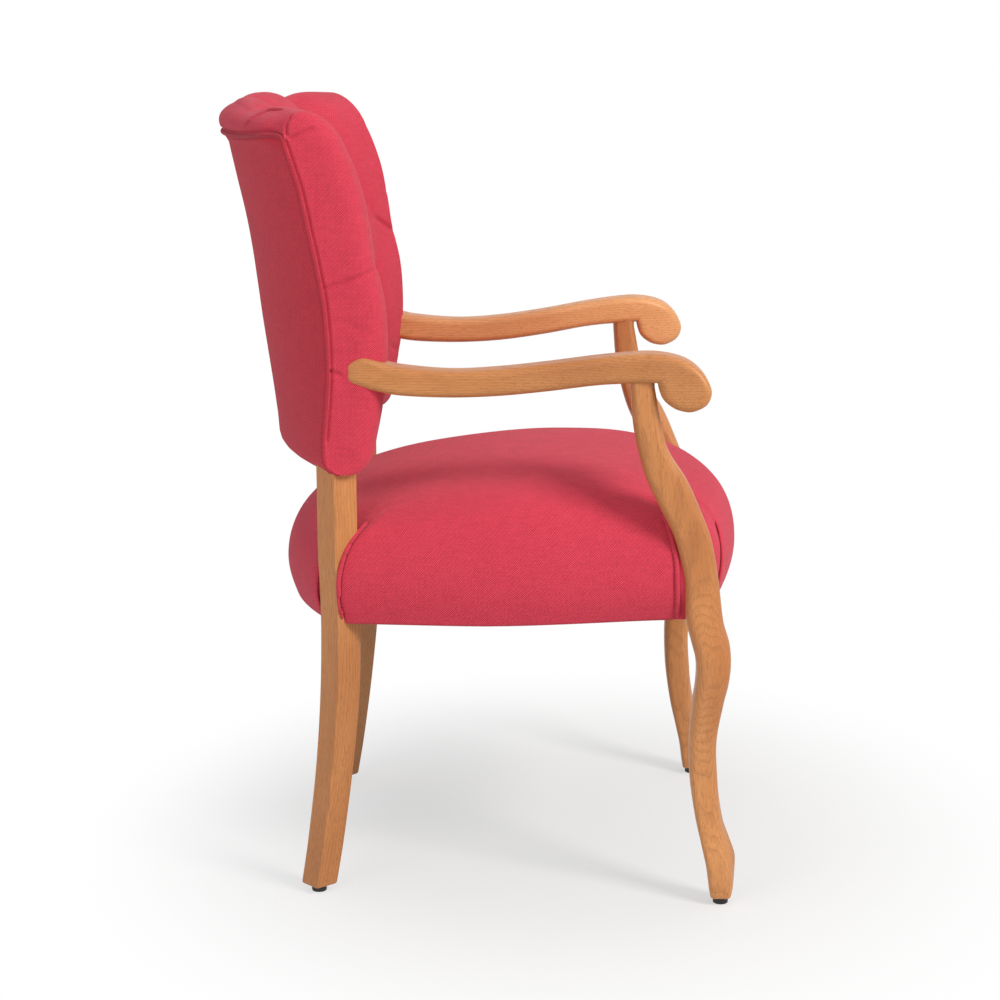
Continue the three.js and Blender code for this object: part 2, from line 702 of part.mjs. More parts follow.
// How high the dome stands over its widest line at the sides.
function seatRise(ring, y) {
  const shoulder = SEAT_CROWN_RISE * SEAT_SHOULDER_SHARE * shoulderShare(ring);
  const middle = SEAT_CROWN_RISE * (1 - SEAT_SHOULDER_SHARE) * (1 - ring ** 2);
  const behind = THREE.MathUtils.smoothstep(y, FRONT_LEG_Y * SEAT_FALL_START_SHARE, REAR_LEG_Y);
  const swell = SEAT_FRONT_SWELL * ring ** SEAT_SWELL_POWER * seatFrontShare(y);
  return (shoulder + middle) * (1 - SEAT_REAR_FALL_SHARE * behind) + swell;
}

function seatRing(plan, ring, inset) {
  return plan.map((p) => {
    const reach = ring * (1 - inset / p.length());
    const y = p.y * reach;
    const z = bulgeHeight + seatRise(ring, y) - inset * shoulderShare(ring);
    return new THREE.Vector3(p.x * reach, y, z);
  });
}

// The hem draws in under the swell of the front.
function seatHem(plan, inset, heightAt) {
  return plan.map((p) => {
    const share = SEAT_HEM_SHARE - SEAT_HEM_DRAW_SHARE * seatFrontShare(p.y);
    const reach = share * (1 - inset / p.length());
    return new THREE.Vector3(p.x * reach, p.y * reach, heightAt(p.y));
  });
}

// A dome down to the hem, which rises towards the front, or down to a place that far under it.
function seatDome(count, inset, under = 0) {
  const plan = seatPlan(count);
  const [start, end] = SEAT_HEM_RISE_SHARES.map((share) => -FRONT_LEG_Y * share);
  const heightAt = (y) =>
    SEAT_HEM_HEIGHT - under + SEAT_HEM_LIFT * THREE.MathUtils.smoothstep(-y, start, end);
  const rings = SEAT_RING_SHARES.map((ring) => seatRing(plan, ring, inset));
  return loft([seatHem(plan, inset, heightAt), ...rings]);
}

function seatCover(cutters) {
  const outside = seatDome(SEAT_COVER_POINTS, 0);
  const inside = seatDome(SEAT_CORE_POINTS, SEAT_COVER_THICKNESS, CUT_OVERRUN);
  return subtractAll(outside, [inside, ...cutters]);
}

function seatFoam(cutters) {
  const inset = SEAT_COVER_THICKNESS + TOUCH_GAP;
  const core = seatDome(SEAT_CORE_POINTS, inset, CUT_OVERRUN);
  const reach = FRONT_LEG_X + REAR_LEG_X;
  const low = new THREE.Vector3(-reach, -reach, SEAT_HEM_HEIGHT - 2 * CUT_OVERRUN);
  const belowSeat = box(low, new THREE.Vector3(reach, reach, foamBottom));
  return subtractAll(core, [belowSeat, ...cutters]);
}

function dustCover(cutters) {
  const plan = seatPlan(SEAT_CORE_POINTS);
  const inset = SEAT_COVER_THICKNESS + DUST_COVER_MARGIN;
  const top = railBottom - TOUCH_GAP;
  const ring = (z) => seatHem(plan, inset, () => z);
  return subtractAll(loft([ring(top - DUST_COVER_THICKNESS), ring(top)]), cutters);
}

function box(low, high) {
  const size = high.clone().sub(low);
  const middle = low.clone().add(high).divideScalar(2);
  const geometry = new THREE.BoxGeometry(size.x, size.y, size.z);
  return solidOf(geometry.translate(middle.x, middle.y, middle.z));
}

function longSeatStrap(index) {
  const x = SEAT_STRAP_PITCH * index;
  const low = new THREE.Vector3(x - STRAP_WIDTH / 2, FRONT_LEG_Y, longStrapBottom);
  const high = new THREE.Vector3(x + STRAP_WIDTH / 2, REAR_LEG_Y, longStrapBottom + STRAP_THICKNESS);
  low.y -= RAIL_THICKNESS / 2;
  high.y += RAIL_THICKNESS;
  return box(low, high);
}

function crossSeatStrap(index) {
  const y = SEAT_STRAP_PITCH * index;
  const halfSpan = (FRONT_LEG_X + REAR_LEG_X) / 2 - RAIL_SETBACK;
  const top = crossStrapBottom + STRAP_THICKNESS;
  const low = new THREE.Vector3(-halfSpan, y - STRAP_WIDTH / 2, crossStrapBottom);
  return box(low, new THREE.Vector3(halfSpan, y + STRAP_WIDTH / 2, top));
}

// Back upholstery

// How far the tufting draws the cloth in, by column and row of the diamond pattern. Buttons stand
// where column and row are whole numbers with an even sum, but not on the wings' edges, where the
// tufting fades out.
function tuftDepth(column, row) {
  const u = THREE.MathUtils.clamp(column, -TUFT_COLUMNS / 2, TUFT_COLUMNS / 2);
  const v = THREE.MathUtils.clamp(row, 0, TUFT_ROWS);
  const edge = (value) => Math.abs(2 * (value - Math.floor(value)) - 1) ** PILLOW_POWER;
  const pillow = (1 - edge((u + v) / 2)) * (1 - edge((u - v) / 2));
  const nearest = Math.round((u + v) / 2);
  const beside = Math.round((u - v) / 2);
  const away = Math.hypot(column - nearest - beside, row - nearest + beside);
  const depth = PLEAT_DEPTH * (1 - pillow) + BUTTON_DEPTH * Math.exp(-((away / BUTTON_SPREAD_SHARE) ** 2));
  const faded = THREE.MathUtils.smoothstep(Math.abs(column), ...TUFT_FADE_COLUMNS);
  return depth * THREE.MathUtils.lerp(1, TUFT_EDGE_SHARE, faded);
}

const tuftRowShare = (row) => TUFT_TOP_SHARE - TUFT_PITCH_SHARE * row;

// Points of the back's loop at one place across, each with the middle that the boxing draws in to.
// A cushion loop carries the tufting; a core loop lies inside it by the inset and the tufting.
function backLoop(across, { inset, tufted, rowStep, roll, foot }) {
  const column = across / (2 * TUFT_COLUMN_SHARE);
  const rearX = across * (BACK_HALF_WIDTH - inset);
  const frontX = across * (BACK_WING_X - inset);
  const sunk = tufted ? 0 : PLEAT_DEPTH + BUTTON_DEPTH;
  const frontInset = inset + sunk;
  const loop = [];
  const add = (x, y, z, middleY, middleZ = z) =>
    loop.push({ point: new THREE.Vector3(x, y, z), middle: new THREE.Vector3(x, middleY, middleZ) });
  const wall = (share) => {
    const { rear, front } = backSurface(share, across);
    return { rear: rear - inset, front: front + frontInset };
  };

  for (const share of BACK_REAR_SHARES) {
    const { rear, front } = wall(share);
    add(rearX, rear, backHeightAt(share), (rear + front) / 2);
  }
  const topShare = tuftRowShare(-TUFT_MARGIN_SHARE);
  const top = wall(topShare);
  const topMiddle = (top.rear + top.front) / 2;
  const rollBase = backHeightAt(topShare);
  const crest = BACK_BOTTOM_HEIGHT + BACK_HEIGHT - BACK_ROLL_SIDE_DROP * across * across;
  for (const angle of roll) {
    const half = (top.rear - top.front) / 2;
    const back = Math.cos(angle) * half + Math.sin(angle) * BACK_ROLL_LEAN;
    const bulge = Math.sin(Math.PI * Math.min(angle / ROLL_BULGE_ANGLE, 1));
    const overhang = tufted ? bulge * BACK_ROLL_OVERHANG : 0;
    const rise = Math.sin(angle) * (crest - frontInset - rollBase);
    const pleat = tufted ? tuftDepth(column, 0) * Math.sin(angle / 2) ** 2 : 0;
    const x = THREE.MathUtils.lerp(rearX, frontX, angle / Math.PI);
    add(x, topMiddle + back + overhang, rollBase + rise - pleat, topMiddle, rollBase);
  }
  for (let row = -TUFT_MARGIN_SHARE; row <= TUFT_ROWS + TUFT_MARGIN_SHARE; row += rowStep) {
    const share = tuftRowShare(row);
    const { rear, front } = wall(share);
    const depth = tufted ? tuftDepth(column, row) : 0;
    add(frontX, front + depth, backHeightAt(share), (rear + front) / 2);
  }
  const low = wall(BACK_FOOT_SHARE);
  const lowMiddle = (low.rear + low.front) / 2;
  const footBase = backHeightAt(BACK_FOOT_SHARE);
  for (const angle of foot) {
    const y = lowMiddle - (Math.cos(angle) * (low.rear - low.front)) / 2;
    const x = THREE.MathUtils.lerp(frontX, rearX, angle / Math.PI);
    const fall = Math.sin(angle) * (footBase - BACK_BOTTOM_HEIGHT - inset);
    const pleat = tufted ? tuftDepth(column, TUFT_ROWS) * Math.cos(angle / 2) ** 2 : 0;
    add(x, y, footBase - fall + pleat, lowMiddle, footBase);
  }
  return loop;
}

// The rings that close one side of the back: the boxing comes out round the wing's edge.
function boxingRings(side, form) {
  const boxingX = BACK_HALF_WIDTH - BOXING_INSET - form.inset;
  return BOXING_RING_SHARES.map(([drawIn, comeOut]) =>
    backLoop(side, form).map(({ point, middle }) => {
      const x = THREE.MathUtils.lerp(Math.abs(point.x), boxingX, comeOut);
      const ringPoint = point.clone().lerp(middle, drawIn);
      ringPoint.x = side * x;
      return ringPoint;
    }),
  );
}

function backBody(form, stations) {
  const rings = stations.map((across) => backLoop(across, form).map(({ point }) => point));
  const sides = [-1, 1].map((side) => boxingRings(side, form));
  return loft([...sides[0].reverse(), ...rings, ...sides[1]], 0, form.tufted);
}

function tuftedBack(growth = 0) {
  const columns = [];
  for (let k = -TUFT_COLUMNS; k <= TUFT_COLUMNS; k += 1) columns.push(k * TUFT_COLUMN_SHARE);
  const form = { inset: -growth, tufted: true, rowStep: TUFT_ROW_STEP, roll: ROLL_ANGLES, foot: FOOT_ANGLES };
  return backBody(form, [-1, ...columns, 1]);
}

const everyOther = (list) => list.filter((_, i) => i % 2 === 0);

function backCore(inset) {
  const form = { inset, tufted: false, rowStep: 2 * TUFT_ROW_STEP };
  form.roll = everyOther(ROLL_ANGLES);
  form.foot = everyOther(FOOT_ANGLES);
  return backBody(form, shares(CORE_STATIONS).map((share) => 2 * share - 1));
}

// The curved slab that holds the outer panel, between the welts.
function panelZone(growth = 0) {
  const depth = BACK_COVER_THICKNESS * PANEL_ZONE_SHARE;
  const levels = shares(PANEL_LEVELS).map((share) => {
    const at = THREE.MathUtils.lerp(PANEL_FOOT_SHARE, PANEL_TOP_SHARE, share);
    const end = (share === 1) - (share === 0);
    return { at, z: backHeightAt(at) + end * growth };
  });
  const rings = [];
  for (const share of shares(PANEL_STATIONS)) {
    const across = (2 * share - 1) * PANEL_EDGE_SHARE;
    const end = (share === 1) - (share === 0);
    const x = across * BACK_HALF_WIDTH + end * growth;
    const inner = levels.map(({ at, z }) => {
      return new THREE.Vector3(x, backSurface(at, across).rear - depth - growth, z);
    });
    const outer = levels.map(({ at, z }) => {
      return new THREE.Vector3(x, backSurface(at, across).rear + BACK_ROLL_OVERHANG, z);
    });
    rings.push([...inner, ...outer.reverse()]);
  }
  return loft(rings, 0);
}

// The path of the welt: up one edge of the outer panel, across its top and down the other edge.
function weltPath() {
  const points = [];
  const place = (across, share) => {
    const y = backSurface(share, across).rear + WELT_RADIUS / 2;
    points.push(new THREE.Vector3(across * BACK_HALF_WIDTH, y, backHeightAt(share)));
  };
  const rows = shares(WELT_RISE_POINTS).map((share) =>
    THREE.MathUtils.lerp(PANEL_FOOT_SHARE, PANEL_TOP_SHARE, share),
  );
  const edge = PANEL_EDGE_SHARE;
  rows.slice(0, -1).forEach((share) => place(-edge, share));
  for (const share of shares(WELT_TOP_POINTS)) place((2 * share - 1) * edge, PANEL_TOP_SHARE);
  rows.slice(0, -1).reverse().forEach((share) => place(edge, share));
  return new THREE.CatmullRomCurve3(points);
}

function welt(radius) {
  const curve = weltPath();
  const frames = curve.computeFrenetFrames(WELT_STEPS, false);
  const rings = shares(WELT_STEPS).map((share, i) => {
    const middle = curve.getPoint(share);
    return shares(WELT_SIDES).slice(1).map((turn) => {
      const angle = turn * 2 * Math.PI;
      return middle
        .clone()
        .addScaledVector(frames.normals[i], Math.cos(angle) * radius)
        .addScaledVector(frames.binormals[i], Math.sin(angle) * radius);
    });
  });
  return loft(rings);
}

const buttonPlaces = [];
for (let row = 0; row <= TUFT_ROWS; row += 1) {
  for (let column = 1 - TUFT_COLUMNS / 2; column < TUFT_COLUMNS / 2; column += 1) {
    if ((row + column + TUFT_COLUMNS) % 2 === 0) buttonPlaces.push({ row, column });
  }
}

// A button's dome stands over the dimple, and its underside fills the dimple down to the cloth.
function backButton({ row, column }, cloth) {
  const across = column * 2 * TUFT_COLUMN_SHARE;
  const share = tuftRowShare(row);
  const { front } = backSurface(share, across);
  const y = front + PLEAT_DEPTH + BUTTON_DEPTH + BUTTON_SINK;
  const from = new THREE.Vector3(across * BACK_WING_X, y, backHeightAt(share));
  const profile = [
    [0, 0],
    [BUTTON_RADIUS, 0],
    [BUTTON_RADIUS, BUTTON_DEPTH],
    [BUTTON_RADIUS * Math.SQRT1_2, BUTTON_DEPTH + BUTTON_HEIGHT * BUTTON_SHOULDER_SHARE],
    [0, BUTTON_DEPTH + BUTTON_HEIGHT],
  ];
  return turned(profile, ROUND_SEGMENTS, from, new THREE.Vector3(0, -1, 0)).subtract(cloth);
}

function backRail(share, growth = 0) {
  return bowedBar({
    halfSpan: REAR_LEG_X,
    endY: postY(share),
    middleY: backSurface(share, 0).rear - BACK_RAIL_SETBACK,
    thickness: BACK_RAIL_THICKNESS + 2 * growth,
    bottom: backHeightAt(share) - BACK_RAIL_HEIGHT - growth,
    height: BACK_RAIL_HEIGHT + 2 * growth,
  });
}

function backStrap(share, growth = 0) {
  return bowedBar({
    halfSpan: REAR_LEG_X,
    endY: postY(share),
    middleY: backSurface(share, 0).rear - BACK_STRAP_SETBACK,
    thickness: STRAP_THICKNESS + 2 * growth,
    bottom: backHeightAt(share) - growth,
    height: STRAP_WIDTH + 2 * growth,
  });
}

// Assembly

const chair = new THREE.Group();

function addPiece(name, solid, look) {
  const mesh = new THREE.Mesh(geometryOf(solid), new THREE.MeshStandardMaterial(look));
  mesh.name = name;
  chair.add(mesh);
}

const SIDES = [["right", -1], ["left", 1]];
const CORNERS = SIDES.flatMap(([word, side]) => [
  { name: "front_" + word, side, isFront: true },
  { name: "rear_" + word, side, isFront: false },
]);
const crestShare = POST_TOP_SHARE;
const lowRailShare = BACK_FOOT_SHARE + BACK_RAIL_HEIGHT / BACK_HEIGHT;

const grownLegs = SIDES.flatMap(([, side]) => [
  frontLegBlank(side, TOUCH_GAP),
  rearLegBlank(side, TOUCH_GAP),
]);
const grownRearLegs = SIDES.map(([, side]) => rearLegBlank(side, TOUCH_GAP));
const grownArms = SIDES.map(([, side]) => armBlank(side, TOUCH_GAP));
const grownDowels = SIDES.flatMap(([, side]) => Object.values(armDowels(side, TOUCH_GAP)));
const grownStems = Object.values(legFeet).map((foot) => glide(foot, TOUCH_GAP));
const grownScrews = CORNERS.map(({ side, isFront }) => blockScrew(side, isFront, TOUCH_GAP));

// A seat rail lies inside the cloth and stops at the legs.
const seatInside = seatDome(
  SEAT_CORE_POINTS,
  SEAT_COVER_THICKNESS + TOUCH_GAP,
  CUT_OVERRUN,
);
const fittedRail = (blank, neighbours = []) =>
  subtractAll(blank, [...grownLegs, ...grownScrews, ...neighbours]).intersect(seatInside);

for (const [word, side] of SIDES) {
  const legCuts = [...grownStems, ...grownDowels, ...grownScrews];
  const frontLeg = subtractAll(frontLegBlank(side), [armBlank(side, TOUCH_GAP), ...legCuts]);
  addPiece("front_leg_" + word, frontLeg, SHOW_WOOD);
  addPiece("rear_leg_" + word, subtractAll(rearLegBlank(side), legCuts), SHOW_WOOD);
  const arm = subtractAll(armBlank(side), [rearLegBlank(side, TOUCH_GAP), ...grownDowels]);
  addPiece("armrest_" + word, arm, SHOW_WOOD);
  const dowels = armDowels(side);
  addPiece("arm_front_dowel_" + word, dowels.front, FRAME_WOOD);
  addPiece("arm_rear_dowel_" + word, dowels.rear, FRAME_WOOD);
  addPiece("side_rail_" + word, fittedRail(sideRail(side), [crossRail(true, TOUCH_GAP)]), FRAME_WOOD);
}

for (const [place, foot] of Object.entries(legFeet)) addPiece("glide_" + place, glide(foot), PLASTIC);

addPiece("front_rail", fittedRail(crossRail(true)), FRAME_WOOD);
addPiece("rear_rail", fittedRail(crossRail(false)), FRAME_WOOD);
addPiece("crest_rail", subtractAll(backRail(crestShare), grownLegs), FRAME_WOOD);
addPiece("lower_back_rail", subtractAll(backRail(lowRailShare), grownLegs), FRAME_WOOD);

const grownRails = [
  crossRail(true, TOUCH_GAP),
  crossRail(false, TOUCH_GAP),
  sideRail(-1, TOUCH_GAP),
  sideRail(1, TOUCH_GAP),
];
for (const { name, side, isFront } of CORNERS) {
  const cutters = [...grownRails, ...grownLegs, ...grownScrews];
  addPiece("corner_block_" + name, subtractAll(cornerBlock(side, isFront), cutters), FRAME_WOOD);
  addPiece("block_screw_" + name, blockScrew(side, isFront), STEEL);
}

["right", "middle", "left"].forEach((word, i) => {
  addPiece("long_seat_strap_" + word, longSeatStrap(i - 1), WEBBING);
});
["front", "middle", "rear"].forEach((word, i) => {
  addPiece("cross_seat_strap_" + word, crossSeatStrap(i - 1), WEBBING);
});
["lower", "middle", "upper"].forEach((word, i) => {
  const strap = subtractAll(backStrap(BACK_STRAP_SHARES[i]), grownRearLegs);
  addPiece("back_strap_" + word, strap, WEBBING);
});

addPiece("seat_foam", seatFoam(grownLegs), FOAM);
addPiece("seat_cover", seatCover(grownLegs), FABRIC);
addPiece("dust_cover", dustCover(grownLegs), LINING);

const backHardware = [
  ...grownRearLegs,
  ...grownArms,
  ...grownDowels,
  backRail(crestShare, TOUCH_GAP),
  backRail(lowRailShare, TOUCH_GAP),
  ...BACK_STRAP_SHARES.map((share) => backStrap(share, TOUCH_GAP)),
];
const grownWelt = welt(WELT_RADIUS + 2 * TOUCH_GAP);
const backShell = subtractAll(tuftedBack(), [backCore(BACK_COVER_THICKNESS), ...grownRearLegs]);
const innerCuts = [panelZone(TOUCH_GAP / 2), grownWelt, ...grownArms];
const panel = backShell.intersect(panelZone(-PANEL_MARGIN)).subtract(grownWelt);
addPiece("back_foam", subtractAll(backCore(BACK_COVER_THICKNESS + TOUCH_GAP), backHardware), FOAM);
addPiece("inner_back_cover", subtractAll(backShell, innerCuts), FABRIC);
addPiece("outer_back_cover", panel, PANEL_FABRIC);
addPiece("back_welt", welt(WELT_RADIUS), PANEL_FABRIC);
const grownCloth = tuftedBack(TOUCH_GAP);
buttonPlaces.forEach((place, i) => {
  addPiece("back_button_" + String(i + 1).padStart(2, "0"), backButton(place, grownCloth), FABRIC);
});

// The origin moves to the middle of the chair's base.
const bounds = new THREE.Box3().setFromObject(chair);
chair.position.set(0, -(bounds.min.y + bounds.max.y) / 2, -bounds.min.z);

export default chair;
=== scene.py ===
"""Looks of an upholstered open armchair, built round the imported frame."""

import math

import bmesh
import bpy
import numpy as np
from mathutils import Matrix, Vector
from mathutils.bvhtree import BVHTree
from mathutils.geometry import delaunay_2d_cdt
from mathutils.kdtree import KDTree


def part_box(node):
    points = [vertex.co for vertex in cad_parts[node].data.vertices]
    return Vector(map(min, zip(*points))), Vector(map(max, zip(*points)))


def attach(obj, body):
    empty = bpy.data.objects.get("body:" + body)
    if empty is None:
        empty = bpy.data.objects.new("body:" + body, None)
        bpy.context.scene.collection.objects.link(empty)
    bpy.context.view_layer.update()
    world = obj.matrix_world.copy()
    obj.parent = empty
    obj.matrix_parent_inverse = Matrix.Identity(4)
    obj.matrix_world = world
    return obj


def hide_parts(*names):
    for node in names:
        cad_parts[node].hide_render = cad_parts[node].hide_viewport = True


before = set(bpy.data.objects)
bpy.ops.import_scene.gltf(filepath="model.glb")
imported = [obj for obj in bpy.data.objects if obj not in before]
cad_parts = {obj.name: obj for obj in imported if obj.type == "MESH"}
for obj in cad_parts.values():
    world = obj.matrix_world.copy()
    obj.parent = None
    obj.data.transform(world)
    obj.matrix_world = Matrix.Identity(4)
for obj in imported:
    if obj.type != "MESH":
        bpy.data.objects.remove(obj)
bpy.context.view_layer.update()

MM = 0.001

# Sizes in millimetres, as in the solids. The construction frame is the row frame moved along Y.
GLIDE_RADIUS, GLIDE_THICKNESS = 9, 8
TOUCH_GAP = 0.3
FRONT_LEG_X, FRONT_LEG_Y = 250, -220
FRONT_LEG_SWING, FRONT_LEG_SPLAY = 70, 10
FRONT_LEG_DEPTH, FRONT_LEG_WIDTH = 40, 40
REAR_LEG_X, REAR_LEG_Y = 214, 204
REAR_LEG_SWING, REAR_LEG_SIDE, REAR_LEG_TURN = 29, 34.5, math.radians(42)
REAR_LEG_REACH = REAR_LEG_SIDE / math.sqrt(2)
POST_SETBACK, FOOT_ROUND = 11, 3.0
FOOT = GLIDE_THICKNESS + TOUCH_GAP
ARM_HEIGHT, ARM_RISE, ARM_WIDTH, ARM_EDGE_ROUND = 661.5, 65.5, 40, 8
ARM_REAR_OUTSET, ARM_FRONT_OUTSET, ARM_LENGTH = 4, 7, REAR_LEG_Y - FRONT_LEG_Y
SEAT_HEM_HEIGHT, SEAT_BULGE_RISE, SEAT_CROWN_RISE = 336, 39, 136
SEAT_FRONT_REACH, SEAT_REAR_REACH, SEAT_SIDE_REACH, SEAT_FRONT_BOW = 55, 77, 12, 28
SEAT_FRONT_SWELL, SEAT_SWELL_POWER, SEAT_HEM_LIFT = 28, 7, 9
SEAT_SHOULDER_SHARE, SEAT_SHOULDER_POWER, SEAT_REAR_FALL_SHARE = 0.88, 5, 0.16
SEAT_COVER_THICKNESS, SEAT_SOFTENING = 5, 14
HEM_SHARE, HEM_FRONT_TUCK, DUST_TUCK = 0.966, 0.028, 0.03
RAIL_BOTTOM, RAIL_HEIGHT = 347, 66
DUST_THICKNESS, DUST_SAG = 1.2, 2.5
BACK_BOTTOM, BACK_HEIGHT, BACK_LEAN = 513, 426, 100
BACK_HALF_WIDTH, BACK_WING_X = 241, 205
BACK_ROLL_OVERHANG, BACK_ROLL_LEAN, BACK_ROLL_SIDE_DROP, BOXING_INSET = 10, 15, 8, 2
PLEAT_DEPTH, BUTTON_DEPTH = 10, 12
BUTTON_RADIUS, BUTTON_HEIGHT, BUTTON_SINK = 9.5, 6, 2
WELT_RADIUS, WELT_LIFT, WELT_TOP_RISE, WELT_CORNER_RISE = 2.8, 0.5, 5, 6
SEAM_OFFSET, SEAM_SIDE_X, SEAM_DEPTH, SEAM_WIDTH = 4.6, 228, 3.0, 1.7
TUFT_TOP, TUFT_PITCH, TUFT_COLUMN = 0.779, 0.2, 0.155
TUFT_COLUMNS, TUFT_ROWS, TUFT_MARGIN = 6, 3, 0.5
BACK_FOOT_SHARE, BACK_REAR_SHARE, BACK_OVERHANG_REACH = 0.08, 0.087, math.radians(60)
PANEL_EDGE, PANEL_LOW, PANEL_TOP, PANEL_OUT, PANEL_IN = 0.99, 0.1, 0.89, 1.3, 1.2

# Each row: share of the height, forward swing, depth, outward splay, width, keel.
FRONT_LEG_SHARES = [
    [0, -0.387, 0.625, 0.3, 0.72, 0.08],
    [0.014, -0.394, 0.7, 0.3, 0.78, 0.1],
    [0.055, -0.38, 0.825, 0.3, 0.86, 0.2],
    [0.085, -0.35, 0.925, 0.2, 0.9, 0.35],
    [0.115, -0.276, 0.875, 0, 0.86, 0.3],
    [0.155, -0.175, 0.8, -0.2, 0.8, 0.18],
    [0.236, -0.071, 0.8, -0.4, 0.78, 0],
    [0.316, -0.043, 0.8, 0.1, 0.83, 0],
    [0.395, -0.114, 0.9, 0.8, 0.97, 0],
    [0.434, -0.171, 0.95, 1, 1.05, 0],
    [0.473, -0.186, 1, 1, 1.1, 0],
    [0.512, -0.129, 1.1, 0.8, 1.1, 0],
    [0.551, -0.036, 1.075, 0.5, 1.05, 0],
    [0.629, 0.029, 1, 0, 0.92, 0],
    [0.707, 0.171, 1.05, -0.1, 0.9, 0],
    [0.763, 0.379, 1.125, 0, 0.9, 0],
    [0.82, 0.614, 1.15, 0.1, 0.88, 0],
    [0.878, 0.85, 0.87, 0.3, 0.85, 0],
    [0.934, 0.96, 0.8, 0.4, 0.82, 0],
    [1, 1.04, 0.68, 0.5, 0.8, 0],
]
# Each row: share of the height, backward swing, size.
REAR_LEG_SHARES = [
    [0, 1, 0.9],
    [0.14, 0.69, 0.92],
    [0.37, 0.29, 0.95],
    [0.6, 0.03, 1],
    [0.82, -0.03, 1],
    [1, 0.05, 1],
]
# The armrest from the side, as shares of its length and rise, over the top and round the scroll.
ARM_TOP_SHARES = [
    [0, 0.7], [0.036, 0.79], [0.075, 0.87], [0.12, 0.765], [0.182, 0.675], [0.314, 0.61],
    [0.446, 0.66], [0.578, 0.77], [0.71, 0.905], [0.816, 0.987], [0.885, 0.985], [0.947, 0.88],
    [0.989, 0.66], [1.01, 0.382], [1, 0.153], [0.972, 0.031], [0.945, 0], [0.91, 0.061],
    [0.88, 0.229], [0.868, 0.489],
]
ARM_UNDER_SHARES = [
    [0.868, 0.489], [0.818, 0.473], [0.712, 0.42], [0.578, 0.285], [0.446, 0.18],
    [0.314, 0.14], [0.179, 0.17], [0.101, 0.26], [0, 0.443],
]
# Each row: share of the length, outward bow, width.
ARM_PLAN_SHARES = [
    [0, 0, 0.84],
    [0.02, 0, 0.88],
    [0.042, 0.05, 1.03],
    [0.09, 0.08, 1.04],
    [0.3, 0.15, 0.97],
    [0.45, 0.26, 0.95],
    [0.6, 0.5, 0.98],
    [0.74, 0.81, 1],
    [0.84, 1, 1.05],
    [0.95, 1.24, 1.18],
    [1, 1.36, 1.18],
]
# Each row: share of the height, then the depth of the outer face at its middle and at the welt,
# and of the front at its middle and at the wings.
BACK_PROFILE_SHARES = [
    [0, 0.79, 0.13, 0.01, -0.39],
    [0.087, 0.85, 0.135, -0.07, -0.46],
    [0.181, 0.905, 0.1, -0.1, -0.545],
    [0.275, 0.965, 0.07, -0.11, -0.585],
    [0.38, 1.03, 0.08, -0.07, -0.59],
    [0.474, 1.08, 0.115, 0.01, -0.56],
    [0.58, 1.14, 0.195, 0.14, -0.475],
    [0.674, 1.21, 0.28, 0.28, -0.4],
    [0.779, 1.31, 0.376, 0.45, -0.3],
    [0.885, 1.405, 0.52, 0.64, -0.12],
    [1, 1.49, 0.66, 0.86, 0.21],
]

glide_low, glide_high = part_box("glide_rear_left")
SHIFT_Y = (glide_low[1] + glide_high[1]) / 2 / MM - (REAR_LEG_Y + REAR_LEG_SWING)

SIDES = [("right", -1), ("left", 1)]


# Numbers

def read_table(rows, at):
    """The table's columns at each place, on a smooth curve through its rows."""
    rows, at = np.asarray(rows, float), np.atleast_1d(np.asarray(at, float))
    last = len(rows) - 1
    low = np.clip(np.searchsorted(rows[:, 0], at, side="left") - 1, 0, last - 1)
    span = rows[low + 1, 0] - rows[low, 0]
    t = (at - rows[low, 0]) / span

    def slope(row):
        before, after = rows[np.maximum(row - 1, 0)], rows[np.minimum(row + 1, last)]
        return (after[:, 1:] - before[:, 1:]) / (after[:, :1] - before[:, :1])

    start, rise = rows[low, 1:], rows[low + 1, 1:] - rows[low, 1:]
    lift = slope(low) * span[:, None] - rise
    drop = rise - slope(low + 1) * span[:, None]
    t = t[:, None]
    return start + rise * t + t * (1 - t) * (lift * (1 - t) + drop * t)


def spline(points, count):
    """A smooth curve through the given points, with the same number of steps between each two."""
    points = np.asarray(points, float)
    ends = [2 * points[0] - points[1], *points, 2 * points[-1] - points[-2]]
    out = []
    for at in np.linspace(0, len(points) - 1, count):
        i = min(int(at), len(points) - 2)
        t = at - i
        a, b, c, d = ends[i : i + 4]
        square, cube = 2 * a - 5 * b + 4 * c - d, 3 * b - a - 3 * c + d
        out.append(0.5 * (2 * b + (c - a) * t + square * t**2 + cube * t**3))
    return np.array(out)


def even(points, count):
    """The same line with points at even distances."""
    points = np.asarray(points, float)
    lengths = np.r_[0, np.cumsum(np.linalg.norm(np.diff(points, axis=0), axis=1))]
    at = np.linspace(0, lengths[-1], count)
    return np.stack([np.interp(at, lengths, values) for values in points.T], 1)


def smoothstep(value, low, high):
    t = np.clip((value - low) / (high - low), 0, 1)
    return t * t * (3 - 2 * t)


def unit(vectors):
    """The vectors at length one."""
    return vectors / np.linalg.norm(vectors, axis=-1, keepdims=True)


def circle(count):
    """The sine and cosine of even steps round a circle, as columns."""
    angles = np.linspace(0, 2 * math.pi, count, endpoint=False)[:, None]
    return np.sin(angles), np.cos(angles)


# Meshes

def place(points):
    """Construction millimetres to row metres."""
    return (np.asarray(points, float) + (0, SHIFT_Y, 0)) * MM


def linked(name, data):
    """An object that shows the data, in the scene."""
    made = bpy.data.objects.new(name, data)
    bpy.context.scene.collection.objects.link(made)
    return made


